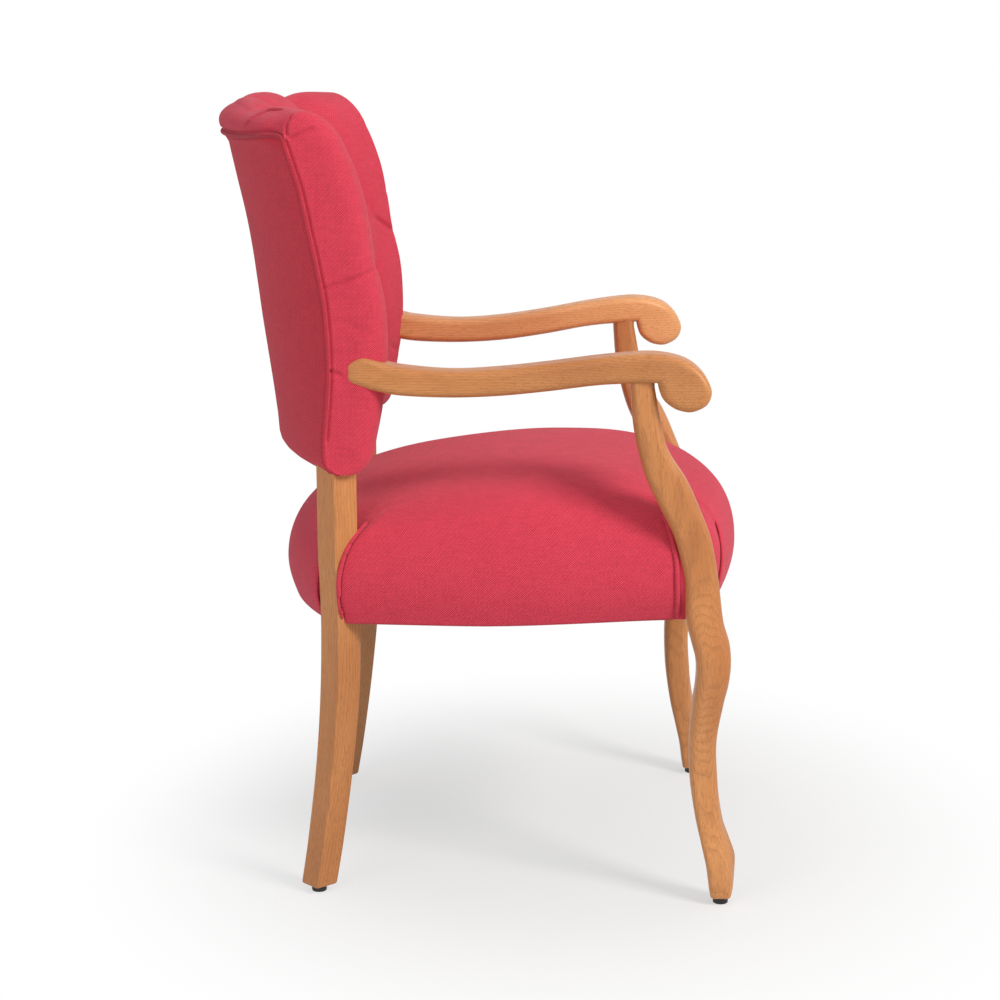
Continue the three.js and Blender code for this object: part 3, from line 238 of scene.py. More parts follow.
def piece(name, shape, material, nodes=()):
    """A smooth visible piece that rides on the one body, in the place of the named nodes."""
    vertices, faces = shape
    mesh = bpy.data.meshes.new(name)
    mesh.from_pydata(place(vertices).tolist(), [], faces)
    mesh.validate()
    work = bmesh.new()
    work.from_mesh(mesh)
    bmesh.ops.remove_doubles(work, verts=work.verts, dist=0.02 * MM)
    bmesh.ops.recalc_face_normals(work, faces=work.faces)
    work.to_mesh(mesh)
    work.free()
    mesh.polygons.foreach_set("use_smooth", [True] * len(mesh.polygons))
    mesh.materials.append(material)
    made = linked(name, mesh)
    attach(made, "root")
    if nodes:
        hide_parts(*nodes)
    return made


def ring_faces(rings, count):
    faces = []
    for first in range(0, (rings - 1) * count, count):
        for i in range(count):
            a, b = first + i, first + (i + 1) % count
            faces.append((a, b, b + count, a + count))
    return faces


def loft(rings):
    """Vertices and faces of a closed body through rings, with a fan at each end."""
    rings = np.asarray(rings, float)
    total, count = rings.shape[:2]
    vertices = np.vstack([rings.reshape(-1, 3), rings[0].mean(0), rings[-1].mean(0)])
    faces = ring_faces(total, count)
    low, high = total * count, total * count + 1
    for i in range(count):
        j = (i + 1) % count
        faces.append((low, j, i))
        faces.append((high, (total - 1) * count + i, (total - 1) * count + j))
    return vertices, faces


def tube(line, radius, sides):
    """A round bar along a line, with its frames carried along without twist."""
    sine, cosine = circle(sides)
    ahead = unit(np.gradient(line, axis=0))
    across = np.cross(ahead[0], (0.3, 0.2, 0.9))
    rings = []
    for point, direction in zip(line, ahead):
        across = unit(across - direction * across.dot(direction))
        up = np.cross(direction, across)
        rings.append(point + radius * (cosine * across + sine * up))
    return loft(rings)


def join(*parts):
    vertices, faces, first = [], [], 0
    for points, polygons in parts:
        vertices.append(points)
        faces += [tuple(i + first for i in polygon) for polygon in polygons]
        first += len(points)
    return np.vstack(vertices), faces


class Surface:
    """A piece's own surface, for creases in it and for trim laid on it. Millimetres in and out."""

    def __init__(self, shown):
        self.mesh = shown.data
        values = np.empty((2, len(self.mesh.vertices) * 3))
        self.mesh.vertices.foreach_get("co", values[0])
        self.mesh.vertex_normals.foreach_get("vector", values[1])
        self.points, self.normals = values.reshape(2, -1, 3)
        self.points = self.points / MM - (0, SHIFT_Y, 0)
        self.moves = np.zeros_like(self.points)
        faces = [tuple(polygon.vertices) for polygon in self.mesh.polygons]
        self.tree = BVHTree.FromPolygons(self.points.tolist(), faces)

    def nearest(self, points):
        """The surface's points nearest to the given ones, and its normals there."""
        found = [self.tree.find_nearest(Vector(p)) for p in points]
        return tuple(np.array([tuple(hit[k]) for hit in found]) for k in (0, 1))

    def laid(self, line, step):
        """A line laid on the surface: its points and the surface's normals there."""
        line = spline(line, 40 * len(line))
        length = np.linalg.norm(np.diff(line, axis=0), axis=1).sum()
        return self.nearest(even(line, max(int(length / step), 8)))

    def crease(self, line, depth, width, ridge=0.0, open_start=False, open_end=False):
        """Presses a crease in along a line. A ridge swells beside it, on the left where positive."""
        laid, normals = self.laid(line, width / 3)
        reach = 4 * width
        low, high = laid.min(0) - reach, laid.max(0) + reach
        near = np.flatnonzero(np.all((self.points > low) & (self.points < high), axis=1))
        tree = KDTree(len(laid))
        for index, point in enumerate(laid):
            tree.insert(point, index)
        tree.balance()
        found = [tree.find(point)[1:] for point in self.points[near]]
        nearest, away = (np.array(values) for values in zip(*found))
        near, nearest, away = near[away < reach], nearest[away < reach], away[away < reach]
        left = np.cross(normals, unit(np.gradient(laid, axis=0)))
        side = np.einsum("ij,ij->i", self.points[near] - laid[nearest], left[nearest])
        along = nearest / (len(laid) - 1)
        fade = np.ones_like(along)
        if not open_start:
            fade *= smoothstep(along, 0, 0.15)
        if not open_end:
            fade *= 1 - smoothstep(along, 0.75, 1)
        height = -depth * np.exp(-((away / width) ** 2))
        if ridge:
            beside = side * math.copysign(1, ridge) / width
            height = height + abs(ridge) * np.exp(-((beside - 1.7) ** 2))
        self.moves[near] += (height * fade)[:, None] * self.normals[near]

    def settle(self):
        """Moves the mesh to its creased shape."""
        self.mesh.vertices.foreach_set("co", place(self.points + self.moves).ravel())
        self.mesh.update()


def mirrored(line, side):
    """A line given for the right side, on either side."""
    return np.asarray(line, float) * (-side, 1, 1)


def band(points, normals, width, thickness):
    """A flattened welt along points of a surface, rounded off at both ends."""
    sine, cosine = circle(10)
    across = unit(np.cross(normals, unit(np.gradient(points, axis=0))))
    steps = np.minimum(np.arange(len(points)), np.arange(len(points))[::-1])
    ends = np.sqrt(1 - (1 - np.clip((steps + 0.6) / 4, 0, 1)) ** 2)
    rings = []
    for point, out, beside, end in zip(points, normals, across, ends):
        rings.append(point + (cosine * beside * width + sine * out * thickness) / 2 * end)
    return loft(rings)


def weighted(shown):
    """Keeps flat faces flat beside their rounded edges."""
    shown.modifiers.new("weighted", "WEIGHTED_NORMAL").keep_sharp = True


# Materials

X, Y, Z = 0, 1, 2
THREAD_PITCH, THREAD_DRIFT = 0.0028, 0.003
WOOD_TONES = ((210, 143, 84), (184, 115, 60), (128, 72, 34))


class Nodes:
    """Short calls that add shader nodes to a new material or world."""

    def __init__(self, owner):
        self.owner = owner
        owner.use_nodes = True
        self.tree = owner.node_tree
        self.tree.nodes.clear()

    def add(self, kind, inputs=None, **settings):
        node = self.tree.nodes.new("ShaderNode" + kind)
        for key, value in settings.items():
            setattr(node, key, value)
        for key, value in (inputs or {}).items():
            if isinstance(value, bpy.types.NodeSocket):
                self.tree.links.new(value, node.inputs[key])
            else:
                node.inputs[key].default_value = value
        return node

    def coordinates(self, kind):
        return self.add("TexCoord").outputs[kind]

    def math(self, operation, *values, clamp=False):
        inputs = dict(enumerate(values))
        return self.add("Math", inputs, operation=operation, use_clamp=clamp).outputs[0]

    def plus(self, first, second, clamp=False):
        return self.math("ADD", first, second, clamp=clamp)

    def times(self, first, second, clamp=False):
        return self.math("MULTIPLY", first, second, clamp=clamp)

    def vector(self, operation, inputs):
        return self.add("VectorMath", inputs, operation=operation).outputs

    def parts(self, vector):
        return self.add("SeparateXYZ", {0: vector}).outputs

    def mix(self, factor, first, second):
        inputs = {"Factor": factor, 6: first, 7: second}
        return self.add("Mix", inputs, data_type="RGBA").outputs[2]

    def mapping(self, vector, scale, location=(0, 0, 0)):
        inputs = {"Vector": vector, "Scale": scale, "Location": location}
        return self.add("Mapping", inputs).outputs[0]

    def noise(self, vector, scale, detail=2, roughness=0.5):
        """Noise at one scale, or at a scale along each axis."""
        if not isinstance(scale, float):
            vector, scale = self.mapping(vector, scale), 1.0
        inputs = {"Vector": vector, "Scale": scale, "Detail": detail, "Roughness": roughness}
        return self.add("TexNoise", inputs).outputs["Fac"]

    def bump(self, height, strength, distance):
        inputs = {"Height": height, "Strength": strength, "Distance": distance}
        return self.add("Bump", inputs).outputs[0]

    def seen(self):
        """1 where the camera looks, straight or by a reflection or through glass, otherwise 0."""
        ray = self.add("LightPath").outputs
        direct = self.math("MAXIMUM", ray["Is Camera Ray"], ray["Is Glossy Ray"])
        return self.math("MAXIMUM", direct, ray["Is Transmission Ray"])

    def shader(self, inputs, kind="BsdfPrincipled"):
        return self.add(kind, inputs).outputs[0]

    def finish(self, shader, output="OutputMaterial"):
        self.add(output, {"Surface": shader})
        return self.owner


def linear(colour):
    """An sRGB colour from 0 to 255 as a linear one."""
    shares = (value / 255 for value in colour)
    return (*(c / 12.92 if c <= 0.04045 else ((c + 0.055) / 1.055) ** 2.4 for c in shares), 1.0)


def weave_height(n, u, v):
    """A basket of warp and weft with a faint twill, from two coordinates in metres."""
    turn = 2 * math.pi / THREAD_PITCH
    rib = n.math("SINE", n.times(n.plus(u, v), turn / 2))
    threads = n.times(n.math("SINE", n.times(u, turn)), n.math("SINE", n.times(v, turn)))
    return n.plus(n.times(rib, 0.12), n.times(threads, 0.88))


def fabric(name, colour, shade):
    """Woven upholstery cloth whose threads follow the surface from three sides."""
    n = Nodes(bpy.data.materials.new(name))
    position = n.coordinates("Object")
    inputs = {"Vector": position, "Scale": 70.0, "Detail": 2.0}
    drift = n.add("TexNoise", inputs).outputs["Color"]
    drift = n.vector("SUBTRACT", {0: drift, 1: (0.5, 0.5, 0.5)})[0]
    drift = n.vector("SCALE", {0: drift, "Scale": THREAD_DRIFT})[0]
    x, y, z = n.parts(n.vector("ADD", {0: position, 1: drift})[0])
    summed, total = 0.0, 0.0
    for facing, u, v in zip(n.parts(n.coordinates("Normal")), (y, x, x), (z, z, y)):
        weight = n.math("POWER", n.math("ABSOLUTE", facing), 8.0)
        summed = n.plus(summed, n.times(weight, weave_height(n, u, v)))
        total = n.plus(total, weight)
    height = n.math("DIVIDE", summed, total)
    fibre = n.noise(position, 1300.0)
    slub = n.noise(position, (60, 60, 520))
    slub_across = n.noise(position, (520, 520, 60))
    patch = n.noise(position, 45.0, 3)
    broad = n.noise(position, 6.0)
    tone = n.times(height, 0.6)
    layers = ((fibre, 0.5), (slub, 0.45), (slub_across, 0.45), (patch, 0.16), (broad, 0.16))
    for layer, strength in layers:
        tone = n.plus(tone, n.times(n.math("SUBTRACT", layer, 0.5), strength))
    raised = n.plus(n.plus(height, n.times(fibre, 0.5)), n.times(slub, 0.35))
    inputs = {
        "Base Color": n.mix(n.plus(tone, 0.5, clamp=True), linear(shade), linear(colour)),
        "Roughness": 0.9,
        "Sheen Weight": 0.16,
        "Sheen Roughness": 0.5,
        "Sheen Tint": (1.0, 0.74, 0.8, 1.0),
        "Specular IOR Level": 0.12,
        "Normal": n.bump(raised, 0.55, 0.0006),
    }
    return n.finish(n.shader(inputs))


def wood(name, ring_axis, grain_axis, ring_pitch, lighter=0):
    """Oiled beech. Growth rings lie across one axis and the fibres run along another."""

    def scales(across, along):
        return [along if axis == grain_axis else across for axis in (X, Y, Z)]

    n = Nodes(bpy.data.materials.new(name))
    position = n.coordinates("Object")
    bend = n.times(n.noise(position, scales(9.0, 2.2), 3, 0.45), 0.02)
    fine_bend = n.times(n.noise(position, scales(36.0, 8.8)), 0.002)
    moved = n.plus(n.plus(n.parts(position)[ring_axis], bend), fine_bend)
    ring = n.math("FRACT", n.math("DIVIDE", moved, ring_pitch))
    late = n.math("POWER", ring, 2.5)
    early = n.times(n.math("SUBTRACT", 1.0, ring), 0.25)
    rings = n.math("MAXIMUM", late, early)
    pores = n.noise(position, scales(1300.0, 45.0), 2, 0.6)
    fleck = n.math("GREATER_THAN", n.noise(position, scales(380.0, 110.0), 1), 0.64)
    broad = n.noise(position, scales(12.6, 3.08), 3)
    inputs = {"Value": broad, "From Min": 0.35, "From Max": 0.65}
    spread = n.add("MapRange", inputs).outputs[0]
    light, middle, dark = (linear([value + lighter for value in tone]) for tone in WOOD_TONES)
    base = n.mix(spread, light, middle)
    base = n.mix(n.times(rings, 0.34), base, dark)
    base = n.mix(n.times(n.math("SUBTRACT", pores, 0.42), 1.3, clamp=True), base, dark)
    inputs = {
        "Base Color": n.mix(n.times(fleck, 0.2), base, dark),
        "Roughness": n.plus(0.4, n.times(pores, 0.18)),
        "Coat Weight": 0.12,
        "Coat Roughness": 0.3,
        "Specular IOR Level": 0.4,
        "Normal": n.bump(n.plus(n.times(rings, -0.3), n.times(pores, -0.7)), 0.15, 0.0003),
    }
    return n.finish(n.shader(inputs))


def plain(name, colour, roughness, metallic=0.0, grain=600.0, depth=0.0001):
    """A moulded, cast or planed finish with a slight tooth."""
    n = Nodes(bpy.data.materials.new(name))
    position = n.coordinates("Object")
    tooth = n.noise(position, grain, 3)
    colour = linear(colour)
    darker = (*(0.72 * value for value in colour[:3]), 1.0)
    inputs = {
        "Base Color": n.mix(n.times(n.noise(position, 25.0), 0.8, clamp=True), colour, darker),
        "Roughness": n.plus(roughness - 0.06, n.times(tooth, 0.12)),
        "Metallic": metallic,
        "Normal": n.bump(tooth, 0.3, depth),
    }
    return n.finish(n.shader(inputs))


FABRIC = fabric("cloth", (228, 74, 95), (176, 46, 63))
# A darker, deeper copy of the cloth for the outer back: painted shade, as that face turns away from the
# lamps.
PANEL_PAINTED_SHADE_FABRIC = fabric("cloth_outer_back_painted_shade", (222, 61, 79), (168, 39, 54))
# A darker copy of the cloth for the welt: painted shade where the welt faces the camera and lamps.
WELT_PAINTED_SHADE_FABRIC = fabric("cloth_welt_painted_shade", (194, 58, 74), (150, 38, 52))
LEG_WOOD = wood("beech_front_legs", X, Z, 0.0022, lighter=6)
REAR_WOOD = wood("beech_rear_legs", X, Z, 0.003)
ARM_WOODS = {
    "right": wood("beech_armrest_right", Z, Y, 0.0032),
    # The left armrest, on the far side, has wood 22 steps lighter: a painted highlight for the light on
    # its inner side.
    "left": wood("beech_armrest_left_painted_highlight", Z, Y, 0.0032, lighter=22),
}
FRAME_WOOD = plain("frame_wood", (201, 167, 119), 0.7, grain=300.0)
WEBBING = plain("webbing", (91, 81, 72), 0.9, grain=1200.0, depth=0.0005)
LINING = plain("lining", (44, 43, 46), 0.95, grain=1500.0, depth=0.0003)
PLASTIC = plain("glide_plastic", (26, 26, 28), 0.5)
STEEL = plain("screw_steel", (154, 157, 161), 0.35, metallic=1.0)


# Camera, in the row frame, at the photograph's place and tilt

CAMERA_DISTANCE, CAMERA_HEIGHT = 3.1267, 1.0847
CAMERA_DROP, CAMERA_HEADING = math.radians(11.72), math.radians(-89.7)
SENSOR_WIDTH, FOCAL_LENGTH = 36.0, 91.73

camera_data = bpy.data.cameras.new("camera")
camera = linked("camera", camera_data)
camera_data.sensor_width = SENSOR_WIDTH
camera_data.lens = FOCAL_LENGTH
camera.location = (-CAMERA_DISTANCE, SHIFT_Y * MM, CAMERA_HEIGHT)
camera.rotation_euler = (math.pi / 2 - CAMERA_DROP, 0.0, CAMERA_HEADING)
bpy.context.scene.camera = camera


# Show wood

def rounded_rectangle(width, depth, radius, steps):
    """A leg's section, from the middle of its front side."""
    points = [(0, -depth / 2)]
    for side_x, side_y, start in ((1, -1, -90), (1, 1, 0), (-1, 1, 90), (-1, -1, 180)):
        for angle in np.radians(np.linspace(start, start + 90, steps + 1)):
            x = side_x * (width / 2 - radius) + radius * math.cos(angle)
            y = side_y * (depth / 2 - radius) + radius * math.sin(angle)
            points.append((x, y))
    return np.array(points)


FOOT_LEVELS = np.array([0.0, 0.3, 0.9, 1.8])
STUMP_DROP, STUMP_HIDDEN, LEG_CORNER_LOW, LEG_CORNER_RISE = 0.6, 0.15, 0.17, 0.13


def foot_inset(height):
    """How far the rounded edge under a leg draws in."""
    return FOOT_ROUND - math.sqrt(FOOT_ROUND**2 - max(FOOT_ROUND - height, 0) ** 2)


def front_leg(side):
    """A front leg with the stump above it, whose top is hidden in the armrest."""
    height = ARM_HEIGHT - ARM_RISE * STUMP_DROP - FOOT
    hidden_top = 1 + ARM_RISE * STUMP_HIDDEN / height
    rings = []
    for share in np.r_[FOOT_LEVELS / height, np.linspace(0.01, hidden_top, 150)]:
        swing, depth, splay, width, keel = read_table(FRONT_LEG_SHARES, min(share, 1))[0]
        inset = foot_inset(share * height)
        depth, width = FRONT_LEG_DEPTH * depth - 2 * inset, FRONT_LEG_WIDTH * width - 2 * inset
        corner = LEG_CORNER_LOW + LEG_CORNER_RISE * smoothstep(share, 0.08, 0.3)
        section = rounded_rectangle(width, depth, min(width, depth) * corner, 6)
        drawn = np.where(section[:, 1] < 0, keel * depth * np.abs(2 * section[:, 0] / width), 0)
        x = side * (FRONT_LEG_X + FRONT_LEG_SPLAY * splay) + section[:, 0]
        y = FRONT_LEG_Y + FRONT_LEG_SWING * swing + section[:, 1] + drawn
        rings.append(np.stack([x, y, np.full(len(section), FOOT + height * share)], 1))
    return loft(rings)


def back_height(share):
    return BACK_BOTTOM + BACK_HEIGHT * share


def back_surface(share, across):
    """How far behind the origin the outer face and the front of the back lie."""
    rear_middle, rear_welt, front_middle, front_wing = read_table(BACK_PROFILE_SHARES, share).T
    side = np.asarray(across) ** 2
    rear = REAR_LEG_Y + BACK_LEAN * (rear_middle + (rear_welt - rear_middle) * side)
    front = REAR_LEG_Y + BACK_LEAN * (front_middle + (front_wing - front_middle) * side)
    return rear, front


def rear_leg(side):
    """A rear leg with the foot of its post, whose top is hidden in the back."""
    height = RAIL_BOTTOM + RAIL_HEIGHT - FOOT
    places = []
    for share in np.r_[FOOT_LEVELS / height, np.linspace(0.01, 1, 50)]:
        swing, size = read_table(REAR_LEG_SHARES, share)[0]
        size = REAR_LEG_SIDE * size - 2 * foot_inset(share * height)
        places.append((REAR_LEG_Y + REAR_LEG_SWING * swing, FOOT + height * share, size))
    for share in (0.0, 0.1, 0.2):
        y = back_surface(share, 1)[0][0] - POST_SETBACK
        places.append((y, back_height(share), REAR_LEG_SIDE))
    sine, cosine = math.sin(-REAR_LEG_TURN), math.cos(-REAR_LEG_TURN)
    rings = []
    for y, z, size in places:
        u, v = rounded_rectangle(size, size, size * 0.07, 3).T
        x, back = u * cosine - v * sine, u * sine + v * cosine
        rings.append(np.stack([side * (REAR_LEG_X + x), y + back, np.full(len(x), z)], 1))
    return loft(rings)


def arm_outline():
    scale, offset = np.array([ARM_LENGTH, ARM_RISE]), np.array([0, ARM_HEIGHT - ARM_RISE])
    top = spline(np.array(ARM_TOP_SHARES) * scale + offset, 400)
    under = spline(np.array(ARM_UNDER_SHARES) * scale + offset, 200)
    top, under = even(top, 150), even(under, 90)
    return np.vstack([top, under[1:]])


def drawn_in(outline, distance):
    """A closed outline moved inwards, by less than its corners would need where they are sharp."""
    arriving = unit(outline - np.roll(outline, 1, 0))
    leaving = unit(np.roll(outline, -1, 0) - outline)
    inward = unit((arriving + leaving)[:, ::-1] * (1, -1))
    half_turn = np.maximum(inward[:, 0] * leaving[:, 1] - inward[:, 1] * leaving[:, 0], 0.5)
    return outline + inward * (distance / half_turn)[:, None]


def arm_point(side, outline, across):
    """Points of the side outline, bowed outwards and set across the armrest's width."""
    bow, width = read_table(ARM_PLAN_SHARES, np.clip(outline[:, 0] / ARM_LENGTH, 0, 1)).T
    rear, front = REAR_LEG_X + ARM_REAR_OUTSET, FRONT_LEG_X + ARM_FRONT_OUTSET
    x = rear + (front - rear) * bow + across * ARM_WIDTH * width
    return np.stack([side * x, REAR_LEG_Y - outline[:, 0], outline[:, 1]], 1)


def flat_cap(outline, step):
    """A closed outline filled with even points: 2-D points and triangles."""
    low, high = outline.min(0) + step, outline.max(0)
    grid = np.meshgrid(*(np.arange(low[k], high[k], step) for k in (X, Y)), indexing="ij")
    outer = [Vector(p) for p in outline]
    around = list(range(len(outer)))
    edges = list(zip(around, around[1:] + around[:1]))
    inside = []
    for point in np.stack(grid, 2).reshape(-1, 2):
        x, y = (outline - point).T
        if np.min(np.hypot(x, y)) < step * 0.6:
            continue
        next_x, next_y = np.roll(x, -1), np.roll(y, -1)
        with np.errstate(divide="ignore", invalid="ignore"):
            at = x - y * (next_x - x) / (next_y - y)
        if np.count_nonzero(((y > 0) != (next_y > 0)) & (at > 0)) % 2:
            inside.append(Vector(point))
    points, _, faces, *_ = delaunay_2d_cdt(outer + inside, edges, [around], 1, 1e-6)
    return np.array([tuple(p) for p in points]), faces


def armrest(side):
    outline = arm_outline()
    steps = np.linspace(0, math.pi / 2, 7)
    rings = []
    for edge, turns in ((-1, steps), (1, steps[::-1])):
        for turn in turns:
            inset = ARM_EDGE_ROUND * (1 - math.sin(turn))
            across = edge * (0.5 - ARM_EDGE_ROUND * (1 - math.cos(turn)) / ARM_WIDTH)
            rings.append(arm_point(side, drawn_in(outline, inset), across))
    body = (np.vstack(rings), ring_faces(len(rings), len(outline)))
    cap_points, cap_faces = flat_cap(drawn_in(outline, ARM_EDGE_ROUND), 7)
    caps = [(arm_point(side, cap_points, edge * 0.5), cap_faces) for edge in (-1, 1)]
    return join(body, *caps)


for word, side in SIDES:
    for node, shape, material in (
        (f"front_leg_{word}", front_leg(side), LEG_WOOD),
        (f"rear_leg_{word}", rear_leg(side), REAR_WOOD),
        (f"armrest_{word}", armrest(side), ARM_WOODS[word]),
    ):
        shown = piece(f"show_{node}", shape, material, [node])
        if not node.startswith("front_leg"):
            weighted(shown)


# Each pair: how far the disc or its spike lies inside the widest radius, and how high.
GLIDE_RINGS = (
    (9, 0), (1.8, 0), (0.9, 0.2), (0.3, 0.7), (0, 1.6), (0, 6.4), (0.5, 7.6), (1.4, 8), (7, 8), (7, 20),
)


def glide(node):
    """A turned plastic disc in the place of the solid's."""
    low, high = (np.array(corner) / MM - (0, SHIFT_Y, 0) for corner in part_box(node))
    x, y = (low + high)[:2] / 2
    sine, cosine = circle(40)
    rings = []
    for inset, z in GLIDE_RINGS:
        radius = max(GLIDE_RADIUS - inset, 0.6)
        rings.append(np.hstack([x + radius * cosine, y + radius * sine, np.full_like(sine, z)]))
    return loft(rings)


for corner in ("front_right", "front_left", "rear_right", "rear_left"):
    node = f"glide_{corner}"
    weighted(piece(f"turned_{node}", glide(node), PLASTIC, [node]))


# Seat

def curve(start, middle, end, count):
    """A curve from the start to the end that leaves and arrives in line with the middle point."""
    t = np.linspace(0, 1, count)[:, None]
    start, middle, end = (np.asarray(p, float) for p in (start, middle, end))
    return (1 - t) ** 2 * start + 2 * t * (1 - t) * middle + t**2 * end


def seat_plan():
    """The seat's outline, with points bunched at its corners. It dips into each rear leg."""
    front, rear = FRONT_LEG_Y - SEAT_FRONT_REACH, REAR_LEG_Y + SEAT_REAR_REACH
    half, corner = FRONT_LEG_X + SEAT_SIDE_REACH, FRONT_LEG_X - FRONT_LEG_WIDTH
    bow_end = (corner, front + SEAT_FRONT_BOW)
    round_leg = (half - SEAT_COVER_THICKNESS, FRONT_LEG_Y - FRONT_LEG_DEPTH / 2)
    beside = (half, FRONT_LEG_Y + FRONT_LEG_DEPTH / 2)
    rear_corner = (REAR_LEG_X + REAR_LEG_REACH + 2, REAR_LEG_Y)
    dip, dip_end = (REAR_LEG_X + 12, REAR_LEG_Y + 1), (REAR_LEG_X, REAR_LEG_Y + 12)
    behind_leg = (REAR_LEG_X - 4, REAR_LEG_Y + REAR_LEG_REACH + 3)
    path = np.vstack(
        [
            curve((0, front), (corner / 2, front), bow_end, 44),
            curve(bow_end, round_leg, beside, 24)[1:],
            curve(beside, (half, (FRONT_LEG_Y + REAR_LEG_Y) / 2), rear_corner, 84)[1:],
            even([rear_corner, dip], 5)[1:],
            even([dip, dip_end, behind_leg], 10)[1:],
            curve(behind_leg, (REAR_LEG_X / 2, rear), (0, rear), 44)[1:],
        ]
    )
    return np.vstack([path, path[-2:0:-1] * (-1, 1)])


def seat_front_share(y):
    """How much a place on the seat belongs to its front, where the cloth swells over the rail."""
    return smoothstep(-y, -FRONT_LEG_Y * 0.35, SEAT_FRONT_REACH - FRONT_LEG_Y)


def hem_share(y):
    """How far out the hem lies, as a share of the widest outline."""
    return (HEM_SHARE - HEM_FRONT_TUCK * seat_front_share(y))[:, None]


def hem_height(y):
    return SEAT_HEM_HEIGHT + SEAT_HEM_LIFT * smoothstep(-y, 0.27 * FRONT_LEG_Y, -0.91 * FRONT_LEG_Y)


def seat_rise(ring, y):
    """The height over the widest line, at a share of the outline from the middle."""
    shoulder = np.sqrt(np.maximum(1 - ring**SEAT_SHOULDER_POWER, 0))
    shoulder = SEAT_CROWN_RISE * SEAT_SHOULDER_SHARE * shoulder
    middle = SEAT_CROWN_RISE * (1 - SEAT_SHOULDER_SHARE) * (1 - ring**2)
    behind = smoothstep(y, FRONT_LEG_Y / 4, REAR_LEG_Y)
    swell = SEAT_FRONT_SWELL * ring**SEAT_SWELL_POWER * seat_front_share(y)
    return (shoulder + middle) * (1 - SEAT_REAR_FALL_SHARE * behind) + swell


def seat_profile(count):
    """Ring shares from the widest line to the crown, evenly spaced along the surface."""
    ring = 1 - np.linspace(0, 1, 2000) ** 2
    height = seat_rise(ring, np.zeros_like(ring))
    line = even(np.stack([ring * FRONT_LEG_X, height], 1), count)
    return line[:-1, 0] / FRONT_LEG_X


def softened(plan):
    """The outline with its dips at the legs smoothed away."""
    steps = np.arange(-3 * SEAT_SOFTENING, 3 * SEAT_SOFTENING + 1)
    weights = np.exp(-((steps / SEAT_SOFTENING) ** 2) / 2)
    weights /= weights.sum()
    return sum(weight * np.roll(plan, step, 0) for weight, step in zip(weights, steps))


def seat_body():
    plan = seat_plan()
    inner_plan = softened(plan)
    y = plan[:, 1]
    bulge = SEAT_HEM_HEIGHT + SEAT_BULGE_RISE
    hem_out, hem = hem_share(y), hem_height(y)
    rings = [
        np.c_[plan * (hem_out - 0.036), np.full(len(plan), RAIL_BOTTOM + 1.0)],
        np.c_[plan * (hem_out - 0.014), hem + 1.6],
        np.c_[plan * (hem_out - 0.008), hem + 0.4],
    ]
    widest = bulge + seat_rise(1.0, y)
    for share in np.linspace(0, 1, 13)[:-1]:
        out = hem_out + (1 - hem_out) * math.sin(share * math.pi / 2)
        rings.append(np.c_[plan * out, hem + (widest - hem) * share])
    for ring in seat_profile(90):
        rim = smoothstep(ring, 0.7, 0.97)
        flat = (plan * rim + inner_plan * (1 - rim)) * ring
        rings.append(np.c_[flat, bulge + seat_rise(ring, flat[:, 1])])
    return loft(rings)


# Where the cloth is cut round the legs, on the right side: a narrow sewn band borders each cut.
LEG_BANDS = {
    "front_leg_rear": [
        (-228, -176, 463), (-236, -180, 453), (-246, -185, 437), (-254, -189, 418),
        (-260, -190, 398), (-261, -191, 372), (-256, -192, 347),
    ],
    "front_leg_front": [
        (-186, -232, 444), (-200, -236, 431), (-216, -239, 415), (-227, -241, 396),
        (-229, -241, 374), (-224, -239, 350),
    ],
    "rear_leg_front": [
        (-208, 177, 463), (-219, 184, 453), (-231, 193, 440), (-238, 200, 428),
        (-240.5, 203.2, 414), (-240.5, 203.4, 384), (-237, 202.5, 341),
    ],
    "rear_leg_rear": [(-205, 229, 430), (-209, 231, 412), (-210, 231.5, 384), (-207, 229, 341)],
}
BAND_WIDTH, BAND_THICKNESS, BAND_LIFT, BAND_CREASE = 5.5, 3.6, 0.4, 2.2
# Where the cloth draws towards the top of a cut, also on the right side.
LEG_DRAWS = [
    ((-224, -178, 468), (-196, -150, 489)),
    ((-186, -234, 446), (-160, -214, 476)),
    ((-206, 176, 463), (-182, 150, 478)),
]
DRAW_DEPTH, DRAW_WIDTH, DRAW_RIDGE, DRAW_BEND = 1.8, 5, 0.6, (0, 4, 3)

seat = piece("seat_upholstery", seat_body(), FABRIC, ["seat_cover", "seat_foam"])
seat_surface = Surface(seat)
for word, side in SIDES:
    for name, line in LEG_BANDS.items():
        line = mirrored(line, side)
        laid, normals = seat_surface.laid(line, 2.0)
        trim = band(laid + normals * BAND_LIFT, normals, BAND_WIDTH, BAND_THICKNESS)
        piece(f"band_{name}_{word}", trim, FABRIC)
        seat_surface.crease(line, BAND_CREASE, BAND_WIDTH, open_start=True, open_end=True)
    for start, end in LEG_DRAWS:
        middle = (np.array(start) + end) / 2 + DRAW_BEND
        line = mirrored([start, middle, end], side)
        seat_surface.crease(line, DRAW_DEPTH, DRAW_WIDTH, side * DRAW_RIDGE, open_start=True)
seat_surface.settle()


def dust_sheet():
    """Thin black cloth stretched under the rails, with a slight sag between them."""
    plan = seat_plan()
    edge = plan * (hem_share(plan[:, 1]) - DUST_TUCK)
    rings = []
    shares = np.r_[np.linspace(1, 0.1, 24), 0.02]
    for level, order in ((0, shares[::-1]), (DUST_THICKNESS, shares)):
        for share in order:
            flat = edge * share
            sag = DUST_SAG * (1 - share**2) ** 2
            ripple = 0.35 * np.sin(flat[:, 0] / 21) * np.sin(flat[:, 1] / 27) * share * (1 - share) * 4
            rings.append(np.c_[flat, RAIL_BOTTOM - 2.0 + level - sag + ripple])
    return loft(rings)


dust = piece("dust_sheet", dust_sheet(), LINING, ["dust_cover"])


# Back

